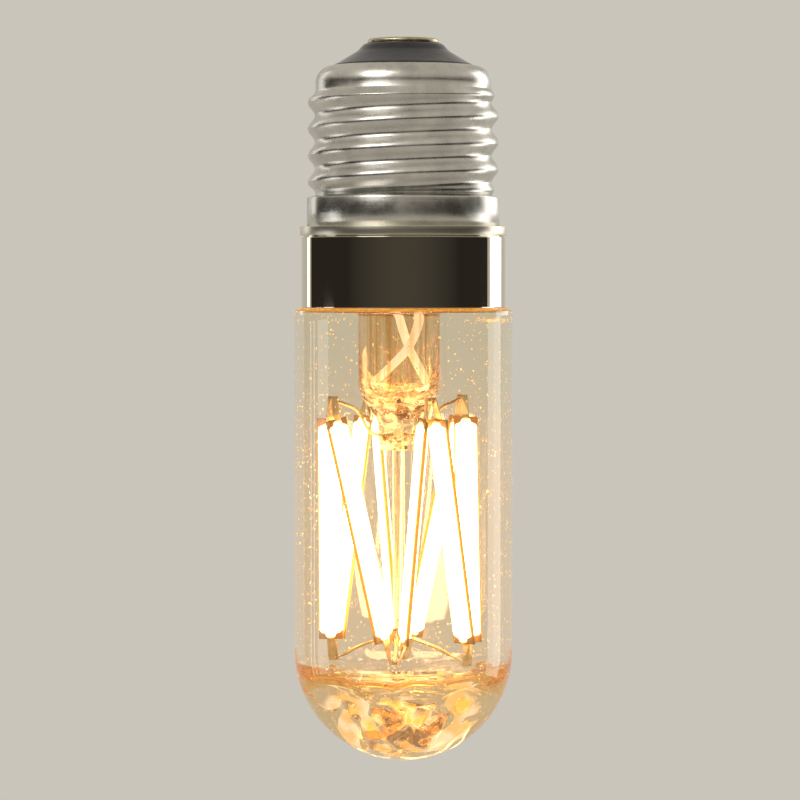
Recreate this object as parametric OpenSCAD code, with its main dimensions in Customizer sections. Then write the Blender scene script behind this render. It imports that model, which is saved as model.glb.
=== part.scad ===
// Tubular filament lamp with a screw cap, hanging cap up.
// z = 0 is the joint between the screw cap and the polished collar, +Z points to the end contact.

/* [Glass tube] */
// Outer diameter of the glass tube
tube_d = 30; // [28:0.5:36]
// Thickness of the tube's wall
tube_wall = 1.2; // [0.8:0.1:1.6]
// Length from the cut rim to the start of the dome
tube_straight = 46.9; // [46:0.1:70]
// Extra glass at the tip of the dome
dome_extra = 1; // [0.1:0.1:2]

/* [Collar] */
// Height of the collar, from the adhesive up to the cap
collar_h = 11.1; // [9:0.1:16]
// Thickness of the collar's wall
collar_wall = 0.8; // [0.5:0.1:1.2]
// How far the glass stands out past the collar, all round
rim_step = 1; // [0.7:0.1:1.2]
// Height of the flared band at the collar's top
band_h = 1.2; // [0.8:0.1:2]
// How far the flared band stands out, all round
band_step = 0.2; // [0.1:0.05:0.4]
// Width and depth of the turned line below the band
line_w = 0.25; // [0.15:0.05:0.4]
// Thickness of the collar's top plate
plate_h = 2; // [1.6:0.1:3]
// Height of the collar's neck inside the cap
neck_h = 3.6; // [3:0.1:4]
// Thickness of the adhesive between collar and glass
glue_t = 0.3; // [0.2:0.05:0.5]

/* [Screw cap] */
// Diameter over the thread's crests
thread_d = 26.2; // [26.05:0.05:26.45]
// Depth of the rounded thread
thread_depth = 0.95; // [0.7:0.05:1.1]
// Rise of the thread in one turn
thread_pitch = 3.63; // [3.5:0.01:3.8]
// Number of turns
thread_turns = 4; // [3:0.5:4.5]
// Diameter of the plain skirt below the thread
skirt_d = 26.5; // [26.5:0.1:27]
// Height of the plain skirt
skirt_h = 4.3; // [4:0.1:6]
// Thickness of the shell's sheet metal
shell_wall = 0.4; // [0.3:0.05:0.6]
// Rounding where the shell turns in over the insulator
shoulder_r = 2.4; // [1.5:0.1:3]
// Height of the insulator above the shell
insulator_h = 3; // [2.5:0.1:4]
// Diameter of the centre contact
contact_d = 9.8; // [9:0.1:10.4]
// Thickness of the centre contact
contact_t = 0.6; // [0.4:0.1:1]

/* [Stem] */
// How far the stem and its strips sit off the tube's axis
mount_shift = -0.6; // [-1:0.1:1]
// Outer diameter of the stem tube
stem_d = 11.2; // [10.8:0.1:12]
// Thickness of the stem tube's wall
stem_wall = 1; // [0.6:0.1:1.1]
// Length from the tube's rim to the shoulder of the press
stem_l = 10.6; // [10:0.1:12]
// Length of the pinched press
press_l = 10.3; // [9.5:0.1:12]
// Diameter of the press at its foot
press_d = 4.6; // [4.2:0.1:5.4]
// Thickness of the press between its two flats
press_t = 4.2; // [3.8:0.1:4.6]
// Thickness of the flare that closes the tube
flare_t = 0.6; // [0.4:0.1:1]
// Outer diameter of the exhaust tube
exhaust_d = 2.7; // [2.3:0.1:2.9]
// Thickness of the exhaust tube's wall
exhaust_wall = 0.5; // [0.3:0.1:0.7]
// Diameter of the glass rod in the middle of the strips
rod_d = 1.7; // [1.4:0.1:2]
// Height of the rod's end above the lower weld joints
rod_lift = 3.4; // [2.4:0.1:4.4]
// Diameter of the bead at the rod's end
bead_d = 2.8; // [2.6:0.1:3.2]

/* [Filament strips] */
// Length of a strip's ceramic plate
strip_l = 31.2; // [28:0.1:33]
// Width of a strip's ceramic plate
strip_w = 3.4; // [2.8:0.1:3.6]
// Thickness of the ceramic plate
strip_t = 0.4; // [0.3:0.05:0.5]
// Height of the phosphor bead on each face of the plate
coat_t = 0.45; // [0.3:0.05:0.5]
// Bare ceramic left along each edge
coat_margin = 0.1; // [0.05:0.05:0.3]
// Drop from the tube's rim to the strips' upper ends
strip_drop = 14.8; // [14:0.1:17]
// Room between the strips' outer edges and the glass
glass_gap = 2.3; // [1.6:0.1:3]
// Angle of the first upper joint, seen from above
top_turn = 25; // [15:1:30]
// Angle of the two wide lower joints
wide_turn = 160; // [155:1:165]
// Angle of the two narrow lower joints
narrow_turn = 82; // [78:1:86]
// Distance of the narrow lower joints from the stem's axis
narrow_r = 4.3; // [4:0.1:5]
// Spacing of the two strips at an upper or wide lower joint
pair_gap = 2; // [1.9:0.1:2.4]
// Spacing of the two strips at a narrow lower joint
narrow_gap = 2.6; // [2.4:0.1:3]
// Number of light-emitting chips on a strip
chip_n = 26; // [20:1:28]
// Height of the upper weld joints above the strips
tab_rise = 2.7; // [2.4:0.1:3.2]
// Depth of the lower weld joints below the strips
tab_drop = 3.1; // [2.7:0.1:3.4]
// Width of the metal end tabs
tab_w = 1.05; // [0.8:0.05:1.2]
// Thickness of the metal end tabs
tab_t = 0.15; // [0.1:0.05:0.2]
// Diameter of the weld beads
weld_d = 0.9; // [0.8:0.05:1.1]

/* [Wires and driver] */
// Diameter of the bare support and anchor wires
wire_d = 0.5; // [0.4:0.05:0.6]
// Diameter of the two lead wires
lead_d = 0.4; // [0.3:0.05:0.5]
// Outer diameter of the sleeves on the lead wires
sleeve_d = 1.2; // [1:0.05:1.25]
// Thickness of the driver board
board_t = 1; // [0.8:0.1:1.2]
// Diameter of the smoothing capacitor
capacitor_d = 8; // [6:0.5:8]
// Height of the smoothing capacitor
capacitor_h = 12; // [9:0.5:14]
// Diameter of the choke
choke_d = 6.5; // [5:0.5:6.5]
// Height of the choke
choke_h = 7; // [5:0.5:9]
// Height of the fusible resistor
fuse_h = 10.6; // [9:0.2:12]
// Diameter of the insulated wires to the cap
cap_wire_d = 0.9; // [0.7:0.1:1.1]

/* [Hidden] */
STRIPS = 8;
$fn = 96;

fit = 0.02;                 // gap between pieces that are fused, glued or pressed together
swell = 0.05;               // gap round a piece that passes through a hole
tube_r = tube_d / 2;
bore_r = tube_r - tube_wall;
z_rim = -collar_h - glue_t;
z_dome = z_rim - tube_straight;

collar_r = tube_r - rim_step;
collar_bore = collar_r - collar_wall;
shell_r = thread_d / 2 - thread_depth;
shell_bore = shell_r - shell_wall;
skirt_bore = skirt_d / 2 - shell_wall - 0.1;
neck_r = skirt_bore - swell;
neck_wall = 1.7;
neck_bore = neck_r - neck_wall;
lip = 0.8;                  // ledge inside the collar's neck that the board lies on
board_r = neck_bore - 2 * swell;
board_top = board_t - plate_h / 2;
thread_sink = 0.3;          // how far the thread runs on into the plain parts
z_thread_top = skirt_h + thread_turns * thread_pitch;
z_shoulder = z_thread_top + 0.9;
shoulder_out = shell_r - 0.1;
shell_mouth = shell_r - shoulder_r;
bend_r = shoulder_out - shell_mouth;
z_shell_top = z_shoulder + shoulder_r;
z_contact = z_shell_top + insulator_h;
contact_r = contact_d / 2;
contact_step = 0.4;         // insulator left round the contact
solder_r = 1.6;

stem_r = stem_d / 2;
stem_bore = stem_r - stem_wall;
z_press = z_rim - stem_l;
z_press_foot = z_press - press_l;
z_exhaust = z_press - 2.2;
z_anchor = z_press - 6.6;
rod_seat = 3.2;             // how deep the rod is fused into the press
exhaust_tip = z_rim + 7;
disc_t = 0.4;
z_disc = z_rim + fit;

z_strip = z_rim - strip_drop;
z_top_weld = z_strip + tab_rise;
top_r = bore_r - glass_gap - strip_w / 2;
z_bead = foot_weld(0)[2] + rod_lift;
coat_w = strip_w - 2 * coat_margin;
coat_curve = (coat_w * coat_w / 4 + coat_t * coat_t) / (2 * coat_t);
coat_corner = 0.5;
tip_l = 1;                  // narrow tip of the coat at each end
tip_w = 1.3;
root_l = 1.2;               // part of an end tab that lies on the plate
chip_w = 0.4;
chip_l = 0.7;
chip_t = 0.15;
led_run = strip_l - 2 * (root_l + tip_l);

rectifier_size = [4.6, 3.8, 1.5];
driver_chip_size = [4.9, 3.9, 1.45];
fuse_d = 3.2;
capacitor_at = above(ring(board_r - capacitor_d / 2 - 1.4, 100, 0), board_top);
choke_at = above(ring(board_r - choke_d / 2 - 0.5, -34, 0), board_top);
rectifier_at = above(ring(board_r - 3.1, 36, 0), board_top);
chip_at = above(ring(board_r - 4.3, -104, 0), board_top);
fuse_at = above(ring(board_r - fuse_d / 2 - 2.3, 200, 0), board_top);
lead_hole = [2.6, -2.4];    // the right one; the left one mirrors it

// Place on the ring of joints: radius, angle and a step sideways along the ring
function ring(r, a, step) = [r * cos(a) - step * sin(a), r * sin(a) + step * cos(a)];
function top_joint(k, step) = ring(top_r, top_turn + 90 * k, step);
function foot_joint(k, step) = k % 2 == 0
    ? ring(narrow_r, narrow_turn + 90 * k, step * narrow_gap / pair_gap)
    : ring(top_r, wide_turn + 90 * (k - 1), step);
function above(p, z) = [p[0], p[1], z];

// Ends of strip i, counted from 0 all round the zigzag of joints
function side(i) = (i % 2 == 0 ? 1 : -1) * pair_gap / 2;
function strip_top(i) = above(top_joint(ceil(i / 2) % 4, side(i)), z_strip);
function strip_foot_xy(i) = foot_joint(floor(i / 2), -side(i));
function reach(i) = norm([strip_top(i)[0], strip_top(i)[1]] - strip_foot_xy(i));
function strip_foot(i) = above(strip_foot_xy(i), z_strip - sqrt(strip_l * strip_l - reach(i) * reach(i)));
function strip_mid(i) = (strip_top(i) + strip_foot(i)) / 2;
function strip_yaw(i) = atan2(strip_mid(i)[1], strip_mid(i)[0]);
function strip_axis(i) = (strip_top(i) - strip_foot(i)) / strip_l;
function outward(i) = strip_axis(i)[0] * cos(strip_yaw(i)) + strip_axis(i)[1] * sin(strip_yaw(i));
function sideways(i) = strip_axis(i)[1] * cos(strip_yaw(i)) - strip_axis(i)[0] * sin(strip_yaw(i));
function top_weld(k) = above(top_joint(k, 0), z_top_weld);
function foot_weld(k) = above(foot_joint(k, 0), strip_foot(2 * k)[2] - tab_drop);

// Routes of the wires, as points chosen by hand and joined by a smooth curve
left_pass = [2.5, -2.9, z_disc + disc_t / 2];
right_pass = [-0.3, -2.2, z_disc + disc_t / 2];
sleeve_left_points = [[lead_hole[0], lead_hole[1], board_top - board_t - 4 * swell],
    [lead_hole[0], lead_hole[1], z_rim + 6], left_pass,
    [2.5, -2.9, z_rim - 1.9], [1.2, -3.4, z_rim - 5.2], [-1.2, -3, z_rim - 8],
    [-2.8, -1.5, z_press + 0.9], [-3.6, -0.4, z_press]];
sleeve_right_points = [[-lead_hole[0], lead_hole[1], board_top - board_t - 4 * swell],
    [-lead_hole[0], lead_hole[1], z_rim + 6], right_pass,
    [0.4, -2.1, z_rim - 2.4], [1.3, -2.1, z_rim - 5.2], [2.4, -1.9, z_rim - 7.6],
    [3.4, -0.9, z_press + 1], [3.6, -0.4, z_press]];
lead_left_points = concat([[lead_hole[0], lead_hole[1], board_top + lead_d]], sleeve_left_points,
    [[-3.7, 0.1, z_press - 2], [-3.8, 1.6, z_press - 4], [-3.9, 4.4, z_strip - 0.2],
     top_weld(1) + [-0.2, -2, -1.3], top_weld(1)]);
lead_right_points = concat([[-lead_hole[0], lead_hole[1], board_top + lead_d]], sleeve_right_points,
    [[3.7, -0.9, z_press - 2], [3.8, -2.2, z_press - 4], [3.9, -4.4, z_strip - 0.2],
     top_weld(3) + [0.2, 2, -1.3], top_weld(3)]);
function along(p, r, z) = above(r * [p[0], p[1]] / norm([p[0], p[1]]), z);
function anchor_points(k) = let (p = top_weld(k), r = norm([p[0], p[1]]))
    [along(p, 0.6, z_anchor), along(p, 3, z_anchor), along(p, 4.6, z_anchor + 0.8),
     along(p, 5.6, z_strip + 0.2), along(p, 6.6, z_strip + 1.4), along(p, r - 1.6, p[2] - 0.7), p];
function support_points(k) = let (p = foot_weld(k), r = norm([p[0], p[1]]))
    [along(p, 0.5, z_bead), along(p, 1.6, z_bead - 0.1), along(p, 0.6 * r, 0.6 * z_bead + 0.4 * p[2]), p];
live_points = [fuse_at + [0, 0, fuse_h + fit], fuse_at + [0.2, 0.2, fuse_h + 1.9], [-4, -1, z_shoulder - 4],
    [-1, 0, z_shoulder - 1.8], [0, 0, z_shoulder], [0, 0, z_contact - 0.2]];
shell_side = ring(shell_bore - cap_wire_d / 2 - swell, -2, 0);
wire_way = min(board_r - 0.9, shell_bore - 1.3);
neutral_points = [above(ring(wire_way - 0.8, -2, 0), board_top + fit),
    above(ring(wire_way - 0.6, -2, 0), board_top + 2.6), above(ring(wire_way, -2, 0), neck_h + 0.8),
    above(shell_side, neck_h + 2.9), above(shell_side, neck_h + 4.9)];

// Smooth curve through a list of points, with n steps between neighbours
function curve_at(a, b, c, d, t) =
    0.5 * (2 * b + (c - a) * t + (2 * a - 5 * b + 4 * c - d) * t * t + (3 * b - a - 3 * c + d) * t * t * t);
function smooth(p, n) = let (e = len(p) - 1) concat(
    [for (s = [0:e - 1], j = [0:n - 1])
        curve_at(p[max(s - 1, 0)], p[s], p[s + 1], p[min(s + 2, e)], j / n)],
    [p[e]]);
function unit(v) = v / norm(v);

// A round wire along a smooth curve, with a round weld bead of diameter bead at its end if that is set;
// square_to is any direction that the wire never runs in
module wire(points, d, square_to, n = 3, sides = 8, bead = 0) {
    path = smooth(points, n);
    e = len(path) - 1;
    function heading(k) = unit(path[min(k + 1, e)] - path[max(k - 1, 0)]);
    function round(centre, t, r) = let (u = unit(cross(t, square_to)), w = cross(t, u))
        [for (s = [0:sides - 1]) centre + r * (cos(360 * s / sides) * u + sin(360 * s / sides) * w)];
    rings = concat(
        [for (k = [0:bead > 0 ? e - 1 : e]) round(path[k], heading(k), d / 2)],
        [for (a = [-60:28:80]) if (bead > 0)
            round(path[e] + bead / 2 * sin(a) * heading(e), heading(e), bead / 2 * cos(a))]);
    last = len(rings) - 1;
    walls = [for (k = [0:last - 1], s = [0:sides - 1]) let (
        a = k * sides + s, b = k * sides + (s + 1) % sides, c = b + sides, f = a + sides)
        each [[a, c, b], [a, f, c]]];
    caps = [[for (s = [0:sides - 1]) s], [for (s = [sides - 1:-1:0]) last * sides + s]];
    polyhedron(points = [for (r = rings) each r], faces = concat(walls, caps));
}

module shifted() {
    translate([mount_shift, 0, 0]) children();
}

// Cap

module screw_shell() {
    thread_h = thread_turns * thread_pitch + thread_sink;
    thread_twist = 360 * thread_h / thread_pitch;
    color("silver") difference() {
        union() {
            cylinder(r = skirt_d / 2, h = skirt_h);
            translate([0, 0, skirt_h - thread_sink])
                linear_extrude(height = thread_h, twist = -thread_twist, slices = 48, $fn = 32)
                    translate([thread_depth / 2, 0]) circle(r = shell_r + thread_depth / 2, $fn = 32);
            translate([0, 0, z_thread_top - thread_sink])
                cylinder(r = shoulder_out, h = z_shoulder - z_thread_top + thread_sink);
            translate([0, 0, z_shoulder]) rotate_extrude() shoulder_quarter(bend_r);
        }
        translate([0, 0, -1]) cylinder(r = skirt_bore, h = skirt_h + 1 - shell_wall);
        translate([0, 0, -1]) cylinder(r = shell_bore, h = z_shoulder + 1);
        translate([0, 0, z_shoulder - 1]) cylinder(r = shell_mouth, h = shoulder_r + 2);
        translate([0, 0, z_shoulder]) rotate_extrude() shoulder_quarter(bend_r - shell_wall);
    }
}

// Quarter of a disc, on the outer side of the shell's mouth
module shoulder_quarter(r) {
    intersection() {
        translate([shell_mouth, 0]) circle(r = r);
        translate([shell_mouth - 1, 0]) square(r + 1);
    }
}

// Glass that fills the shell's shoulder and stands out of it as a cone, with a way for the live wire
module cap_insulator() {
    way = cap_wire_d / 2 + 0.5;
    color("black") rotate_extrude() {
        translate([0, z_shoulder]) shoulder_quarter(bend_r - shell_wall - swell);
        polygon([
            [way, z_shoulder], [shell_mouth - fit, z_shoulder], [shell_mouth - fit, z_shell_top],
            [contact_r + contact_step + 0.5, z_contact - 0.5], [contact_r + contact_step, z_contact],
            [way, z_contact]]);
    }
}

module centre_contact() {
    color("gainsboro") translate([0, 0, z_contact + fit]) difference() {
        cylinder(r = contact_r, h = contact_t);
        translate([0, 0, -1]) cylinder(r = solder_r, h = contact_t + 2);
    }
}

module contact_solder() {
    color("lightgray") translate([0, 0, z_contact + fit])
        cylinder(r = solder_r - fit, h = contact_t);
}

// Collar and glass

module collar() {
    z_foot = z_rim + glue_t;
    edge = 0.15;
    flare_r = collar_r + band_step;
    color("silver") rotate_extrude() polygon([
        [collar_bore, z_foot], [collar_r - edge, z_foot], [collar_r, z_foot + edge],
        [collar_r, -band_h - line_w], [collar_r - line_w, -band_h - line_w], [collar_r - line_w, -band_h],
        [flare_r, -band_h], [flare_r, -edge], [flare_r - edge, 0],
        [neck_r, 0], [neck_r, neck_h], [neck_bore, neck_h], [neck_bore, -plate_h / 2],
        [neck_bore - lip, -plate_h / 2], [neck_bore - lip, -plate_h], [collar_bore, -plate_h]]);
}

// A ring between the glass and the collar, squeezed out past the collar as a round bead
module rim_adhesive() {
    squeeze_r = collar_r + 0.2;
    color("goldenrod") rotate_extrude() {
        translate([collar_bore - 2 * swell, z_rim + fit])
            square([squeeze_r - collar_bore + 2 * swell, glue_t - 2 * fit]);
        translate([squeeze_r, z_rim + glue_t / 2]) circle(r = glue_t / 2 - fit, $fn = 24);
    }
}

// Half section of a tube with a round closed end: r wide, l long, round about the height z
module closed_tube(r, z, l) {
    translate([0, z]) square([r, l]);
    intersection() {
        translate([0, z]) circle(r = r);
        translate([0, z - r]) square(r);
    }
}

module glass_tube() {
    color("wheat", 0.4) rotate_extrude() difference() {
        closed_tube(tube_r, z_dome, tube_straight);
        closed_tube(bore_r, z_dome + dome_extra, tube_straight);
    }
}

module heat_disc() {
    color("tan") difference() {
        translate([0, 0, z_disc]) cylinder(r = collar_bore - 2 * swell, h = disc_t);
        shifted() translate([0, 0, z_disc - 1]) {
            cylinder(d = exhaust_d + 0.8, h = disc_t + 2);
            for (p = [left_pass, right_pass])
                translate([p[0], p[1], 0]) cylinder(d = sleeve_d + 0.8, h = disc_t + 2);
        }
    }
}

// Stem

// The flare is centred in the tube, and the stem below it stands off the tube's axis
module flared_stem() {
    shifted() rotate_extrude() stem_outline();
    difference() {
        translate([0, 0, z_rim - flare_t]) cylinder(r = bore_r - fit, h = flare_t);
        shifted() translate([0, 0, z_rim - flare_t - 1]) cylinder(r = stem_bore, h = flare_t + 2);
    }
}

// Blocks that leave the press two flats, which run out to the round stem above
module press_cuts() {
    flat_top = 3.6;
    block = 20;
    for (s = [0, 1]) rotate([0, 0, 180 * s]) {
        translate([-block / 2, press_t / 2, z_press_foot - 1]) cube([block, block, press_l + 1 - flat_top]);
        translate([0, stem_r + 0.4, z_press]) rotate([-40, 0, 0])
            translate([-block / 2, 0, -block]) cube(block);
    }
}

module stem_outline() {
    flare_r = 0.5;
    z_flare = z_rim - flare_t;
    polygon(concat(
        [[stem_bore, z_rim], [stem_r + flare_r, z_rim]],
        [for (a = [0:15:90]) [stem_r + flare_r * (1 - sin(a)), z_flare - flare_r * (1 - cos(a))]],
        [[stem_r, z_press], [stem_r - 0.4, z_press - 1.2], [4.1, z_press - 2.8], [3.2, z_press - 4.4],
         [2.7, z_press - 6], [press_d / 2, z_press - 8.6], [press_d / 2, z_press_foot + 0.4],
         [press_d / 2 - 0.4, z_press_foot], [0, z_press_foot]],
        [[0, z_press - 1.4], [3.2, z_press - 0.8], [stem_bore, z_press + 0.6]]));
}

module stem_glass() {
    sleeve_seat = 3;
    color("aliceblue", 0.5) difference() {
        flared_stem();
        shifted() {
            press_cuts();
            translate([0, 0, z_exhaust]) cylinder(d = exhaust_d + 2 * fit, h = stem_l);
            translate([0, 0, z_exhaust - 0.4]) rotate([90, 0, 0])
                cylinder(r = 0.5, h = stem_d, center = true);
            translate([0, 0, z_press_foot - 1]) cylinder(d = rod_d + 2 * fit, h = rod_seat + 1 + fit);
            wire(lead_left_points, lead_d + 2 * swell, [1, 0.1, 0]);
            wire(lead_right_points, lead_d + 2 * swell, [1, -0.1, 0]);
            for (p = [sleeve_left_points, sleeve_right_points])
                translate(p[7] - [0, 0, fit]) cylinder(d = sleeve_d + 2 * swell, h = sleeve_seat);
            for (k = [0, 2]) wire(anchor_points(k), wire_d + 2 * swell, [0, 0.2, 1]);
        }
    }
}

// Sealed at its upper tip, and open below into the press
module exhaust_tube() {
    seal = exhaust_tip - exhaust_d / 2;
    color("aliceblue", 0.5) shifted() translate([0, 0, seal]) mirror([0, 0, 1])
        rotate_extrude() difference() {
            closed_tube(exhaust_d / 2, 0, seal - z_exhaust);
            closed_tube(exhaust_d / 2 - exhaust_wall, 0, seal - z_exhaust + 1);
        }
}

module centre_rod() {
    color("aliceblue", 0.6) shifted() difference() {
        union() {
            translate([0, 0, z_bead]) cylinder(d = rod_d, h = z_press_foot + rod_seat - z_bead);
            translate([0, 0, z_bead]) sphere(d = bead_d);
        }
        for (k = [0:3]) wire(support_points(k), wire_d + 2 * swell, [0, 0.2, 1]);
    }
}

module lead_sleeve(points, square_to) {
    over = [0, 0, 0.5];
    color("cornsilk") shifted() difference() {
        wire(points, sleeve_d, square_to, 3, 12);
        wire(concat([points[0] + over], points, [points[7] - over]), lead_d + 4 * swell, square_to);
    }
}

module lead_wire(points, square_to) {
    color("lightgray") shifted() wire(points, lead_d, square_to, bead = weld_d);
}

module anchor_wire(k) {
    color("lightgray") shifted() wire(anchor_points(k), wire_d, [0, 0.2, 1], bead = weld_d);
}

module support_wire(k) {
    color("lightgray") shifted() wire(support_points(k), wire_d, [0, 0.2, 1], bead = weld_d);
}

// Filament strips: x across the strip, y out of its face, z along it

module on_strip(i) {
    turn = asin(outward(i));
    shifted() translate(strip_mid(i)) rotate([0, 0, strip_yaw(i)])
        rotate([atan2(-sideways(i), strip_axis(i)[2]), 0, 0]) rotate([0, turn, 0]) children();
}

module strip_plate(i) {
    color("oldlace") on_strip(i) cube([strip_w, strip_t, strip_l], center = true);
}

// The coat seen square to the plate: round corners, and a narrow round tip at each end
module coat_outline() {
    body = strip_l - 2 * tip_l;
    r = coat_corner;
    square([coat_w, body - 2 * r], center = true);
    square([coat_w - 2 * r, body], center = true);
    for (s = [-1, 1], t = [-1, 1])
        translate([s * (coat_w / 2 - r), t * (body / 2 - r)]) circle(r = r, $fn = 32);
    square([tip_w, strip_l - tip_w], center = true);
    for (t = [-1, 1]) translate([0, t * (strip_l / 2 - tip_w / 2 - swell)]) circle(d = tip_w, $fn = 32);
}

module coat_bead() {
    intersection() {
        translate([0, 0, -strip_l / 2]) linear_extrude(height = strip_l) intersection() {
            translate([0, strip_t / 2 + coat_t - coat_curve]) circle(r = coat_curve);
            translate([-coat_w / 2, strip_t / 2 + fit]) square([coat_w, coat_t]);
        }
        rotate([90, 0, 0]) linear_extrude(height = 4, center = true) coat_outline();
    }
}

module phosphor_coat(i) {
    color("gold") on_strip(i) {
        difference() {
            coat_bead();
            translate([0, strip_t / 2, 0])
                cube([chip_w + 2 * swell, 2 * (chip_t + swell), led_run + 0.4], center = true);
            for (s = [-1, 1]) translate([0, strip_t / 2, s * strip_l / 2])
                cube([tab_w + 2 * swell, 2 * tab_t + 4 * fit, 2 * root_l + 2 * swell], center = true);
        }
        rotate([0, 0, 180]) coat_bead();
    }
}

module led_chips() {
    pitch = led_run / chip_n;
    color("royalblue") for (i = [0:STRIPS - 1]) on_strip(i) for (c = [0:chip_n - 1])
        translate([0, strip_t / 2 + fit + chip_t / 2, (c + 0.5) * pitch - led_run / 2])
            cube([chip_w, chip_t, chip_l], center = true);
}

// A tab lies on the plate's face, runs past its end and leans over to clasp the weld bead
module end_tab(i, weld, s) {
    past_end = 0.5;
    length = root_l + past_end;
    slice = 0.1;
    y_tab = strip_t / 2 + fit + tab_t / 2;
    past_weld = 0.3;
    stand = (s > 0 ? strip_top(i) : strip_foot(i)) - weld;
    lean = atan2(stand[1], stand[0]);
    clasp = weld + (weld_d + tab_t) / 2 * [cos(lean), sin(lean), 0] + [0, 0, s * past_weld];
    color("silver") {
        on_strip(i) translate([0, y_tab, s * (strip_l / 2 + past_end - length / 2)])
            cube([tab_w, tab_t, length], center = true);
        hull() {
            on_strip(i) translate([0, y_tab, s * (strip_l / 2 + past_end - 1.5 * slice)])
                cube([tab_w - 2 * fit, tab_t - fit, slice], center = true);
            shifted() translate(clasp) rotate([0, 0, lean - 90])
                cube([tab_w - 2 * fit, tab_t - fit, slice], center = true);
        }
    }
}

module end_tabs(i) {
    end_tab(i, top_weld(ceil(i / 2) % 4), 1);
    end_tab(i, foot_weld(floor(i / 2)), -1);
}

// Driver

module driver_board() {
    color("seagreen") difference() {
        translate([0, 0, board_top - board_t]) cylinder(r = board_r, h = board_t);
        shifted() for (s = [-1, 1]) translate([s * lead_hole[0], lead_hole[1], board_top - board_t - 1])
            cylinder(d = lead_d + 6 * swell, h = board_t + 2);
    }
}

// A can with a round shoulder on top and the groove that crimps it on its seal below
module smoothing_capacitor() {
    r = capacitor_d / 2;
    edge = 0.6;
    color("midnightblue") translate(capacitor_at) rotate_extrude() difference() {
        union() {
            square([r, capacitor_h - edge]);
            square([r - edge, capacitor_h]);
            translate([r - edge, capacitor_h - edge]) circle(r = edge, $fn = 32);
        }
        translate([r + 0.5, 1.6]) circle(r = 0.9, $fn = 32);
    }
}

// A drum core with its winding between two cheeks
module choke() {
    cheek = 1;
    color("dimgray") translate(choke_at) {
        cylinder(d = choke_d, h = cheek);
        cylinder(d = choke_d - 1.6, h = choke_h);
        translate([0, 0, choke_h - cheek]) cylinder(d = choke_d, h = cheek);
    }
}

// A moulded body just above the board, with bent pins in two rows
module leaded_chip(size, pins, pitch) {
    pin_w = 0.4;
    pin_t = 0.2;
    knee = 0.3;
    foot_l = 0.8;
    pin_h = 0.7;
    translate([-size[0] / 2, -size[1] / 2, 0.1]) cube(size);
    for (turn = [0, 180], p = [0:pins - 1]) rotate([0, 0, turn])
        translate([(p - (pins - 1) / 2) * pitch - pin_w / 2, size[1] / 2, 0]) {
            translate([0, -pin_t, pin_h - pin_t]) cube([pin_w, pin_t + knee, pin_t]);
            translate([0, knee - pin_t, 0]) cube([pin_w, pin_t, pin_h]);
            translate([0, knee - pin_t, 0]) cube([pin_w, foot_l + pin_t - knee, pin_t]);
        }
}

module bridge_rectifier() {
    color("black") translate(rectifier_at) leaded_chip(rectifier_size, 2, 2.5);
}

module driver_chip() {
    color("black") translate(chip_at) leaded_chip(driver_chip_size, 4, 1.27);
}

// A round body with an end cap at each end, standing on its lead
module fuse_resistor() {
    stand = 1.5;
    end_cap = 1.4;
    body = fuse_h - 2 * stand;
    color("burlywood") translate(fuse_at) {
        cylinder(r = 0.35, h = fuse_h, $fn = 24);
        translate([0, 0, stand]) cylinder(d = fuse_d - 0.6, h = body);
        for (z = [stand, stand + body - end_cap]) translate([0, 0, z]) cylinder(d = fuse_d, h = end_cap);
    }
}

module live_wire() {
    color("firebrick") wire(live_points, cap_wire_d, [1, -1, 0]);
}

module neutral_wire() {
    color("black") wire(neutral_points, cap_wire_d, [0, 1, 0]);
}

screw_shell();
cap_insulator();
centre_contact();
contact_solder();
collar();
rim_adhesive();
glass_tube();
heat_disc();
driver_board();
smoothing_capacitor();
choke();
bridge_rectifier();
driver_chip();
fuse_resistor();
live_wire();
neutral_wire();
stem_glass();
exhaust_tube();
centre_rod();
lead_sleeve(sleeve_left_points, [1, 0.1, 0]);  // lead_sleeve_left
lead_sleeve(sleeve_right_points, [1, -0.1, 0]);  // lead_sleeve_right
lead_wire(lead_left_points, [1, 0.1, 0]);  // lead_wire_left
lead_wire(lead_right_points, [1, -0.1, 0]);  // lead_wire_right
anchor_wire(2);  // anchor_wire_left
anchor_wire(0);  // anchor_wire_right
support_wire(0);  // support_wire_rear
support_wire(1);  // support_wire_left
support_wire(2);  // support_wire_front
support_wire(3);  // support_wire_right
led_chips();
for (i = [1:STRIPS]) {
    strip_plate(i - 1);
    phosphor_coat(i - 1);
    end_tabs(i - 1);
}
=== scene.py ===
"""Looks of a tubular filament lamp that hangs cap up: clear glass, lit filament strips, polished collar."""

import math

import bmesh
import bpy
from bpy.props import FloatProperty, FloatVectorProperty, IntProperty, PointerProperty
from mathutils import Matrix, Vector


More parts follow.
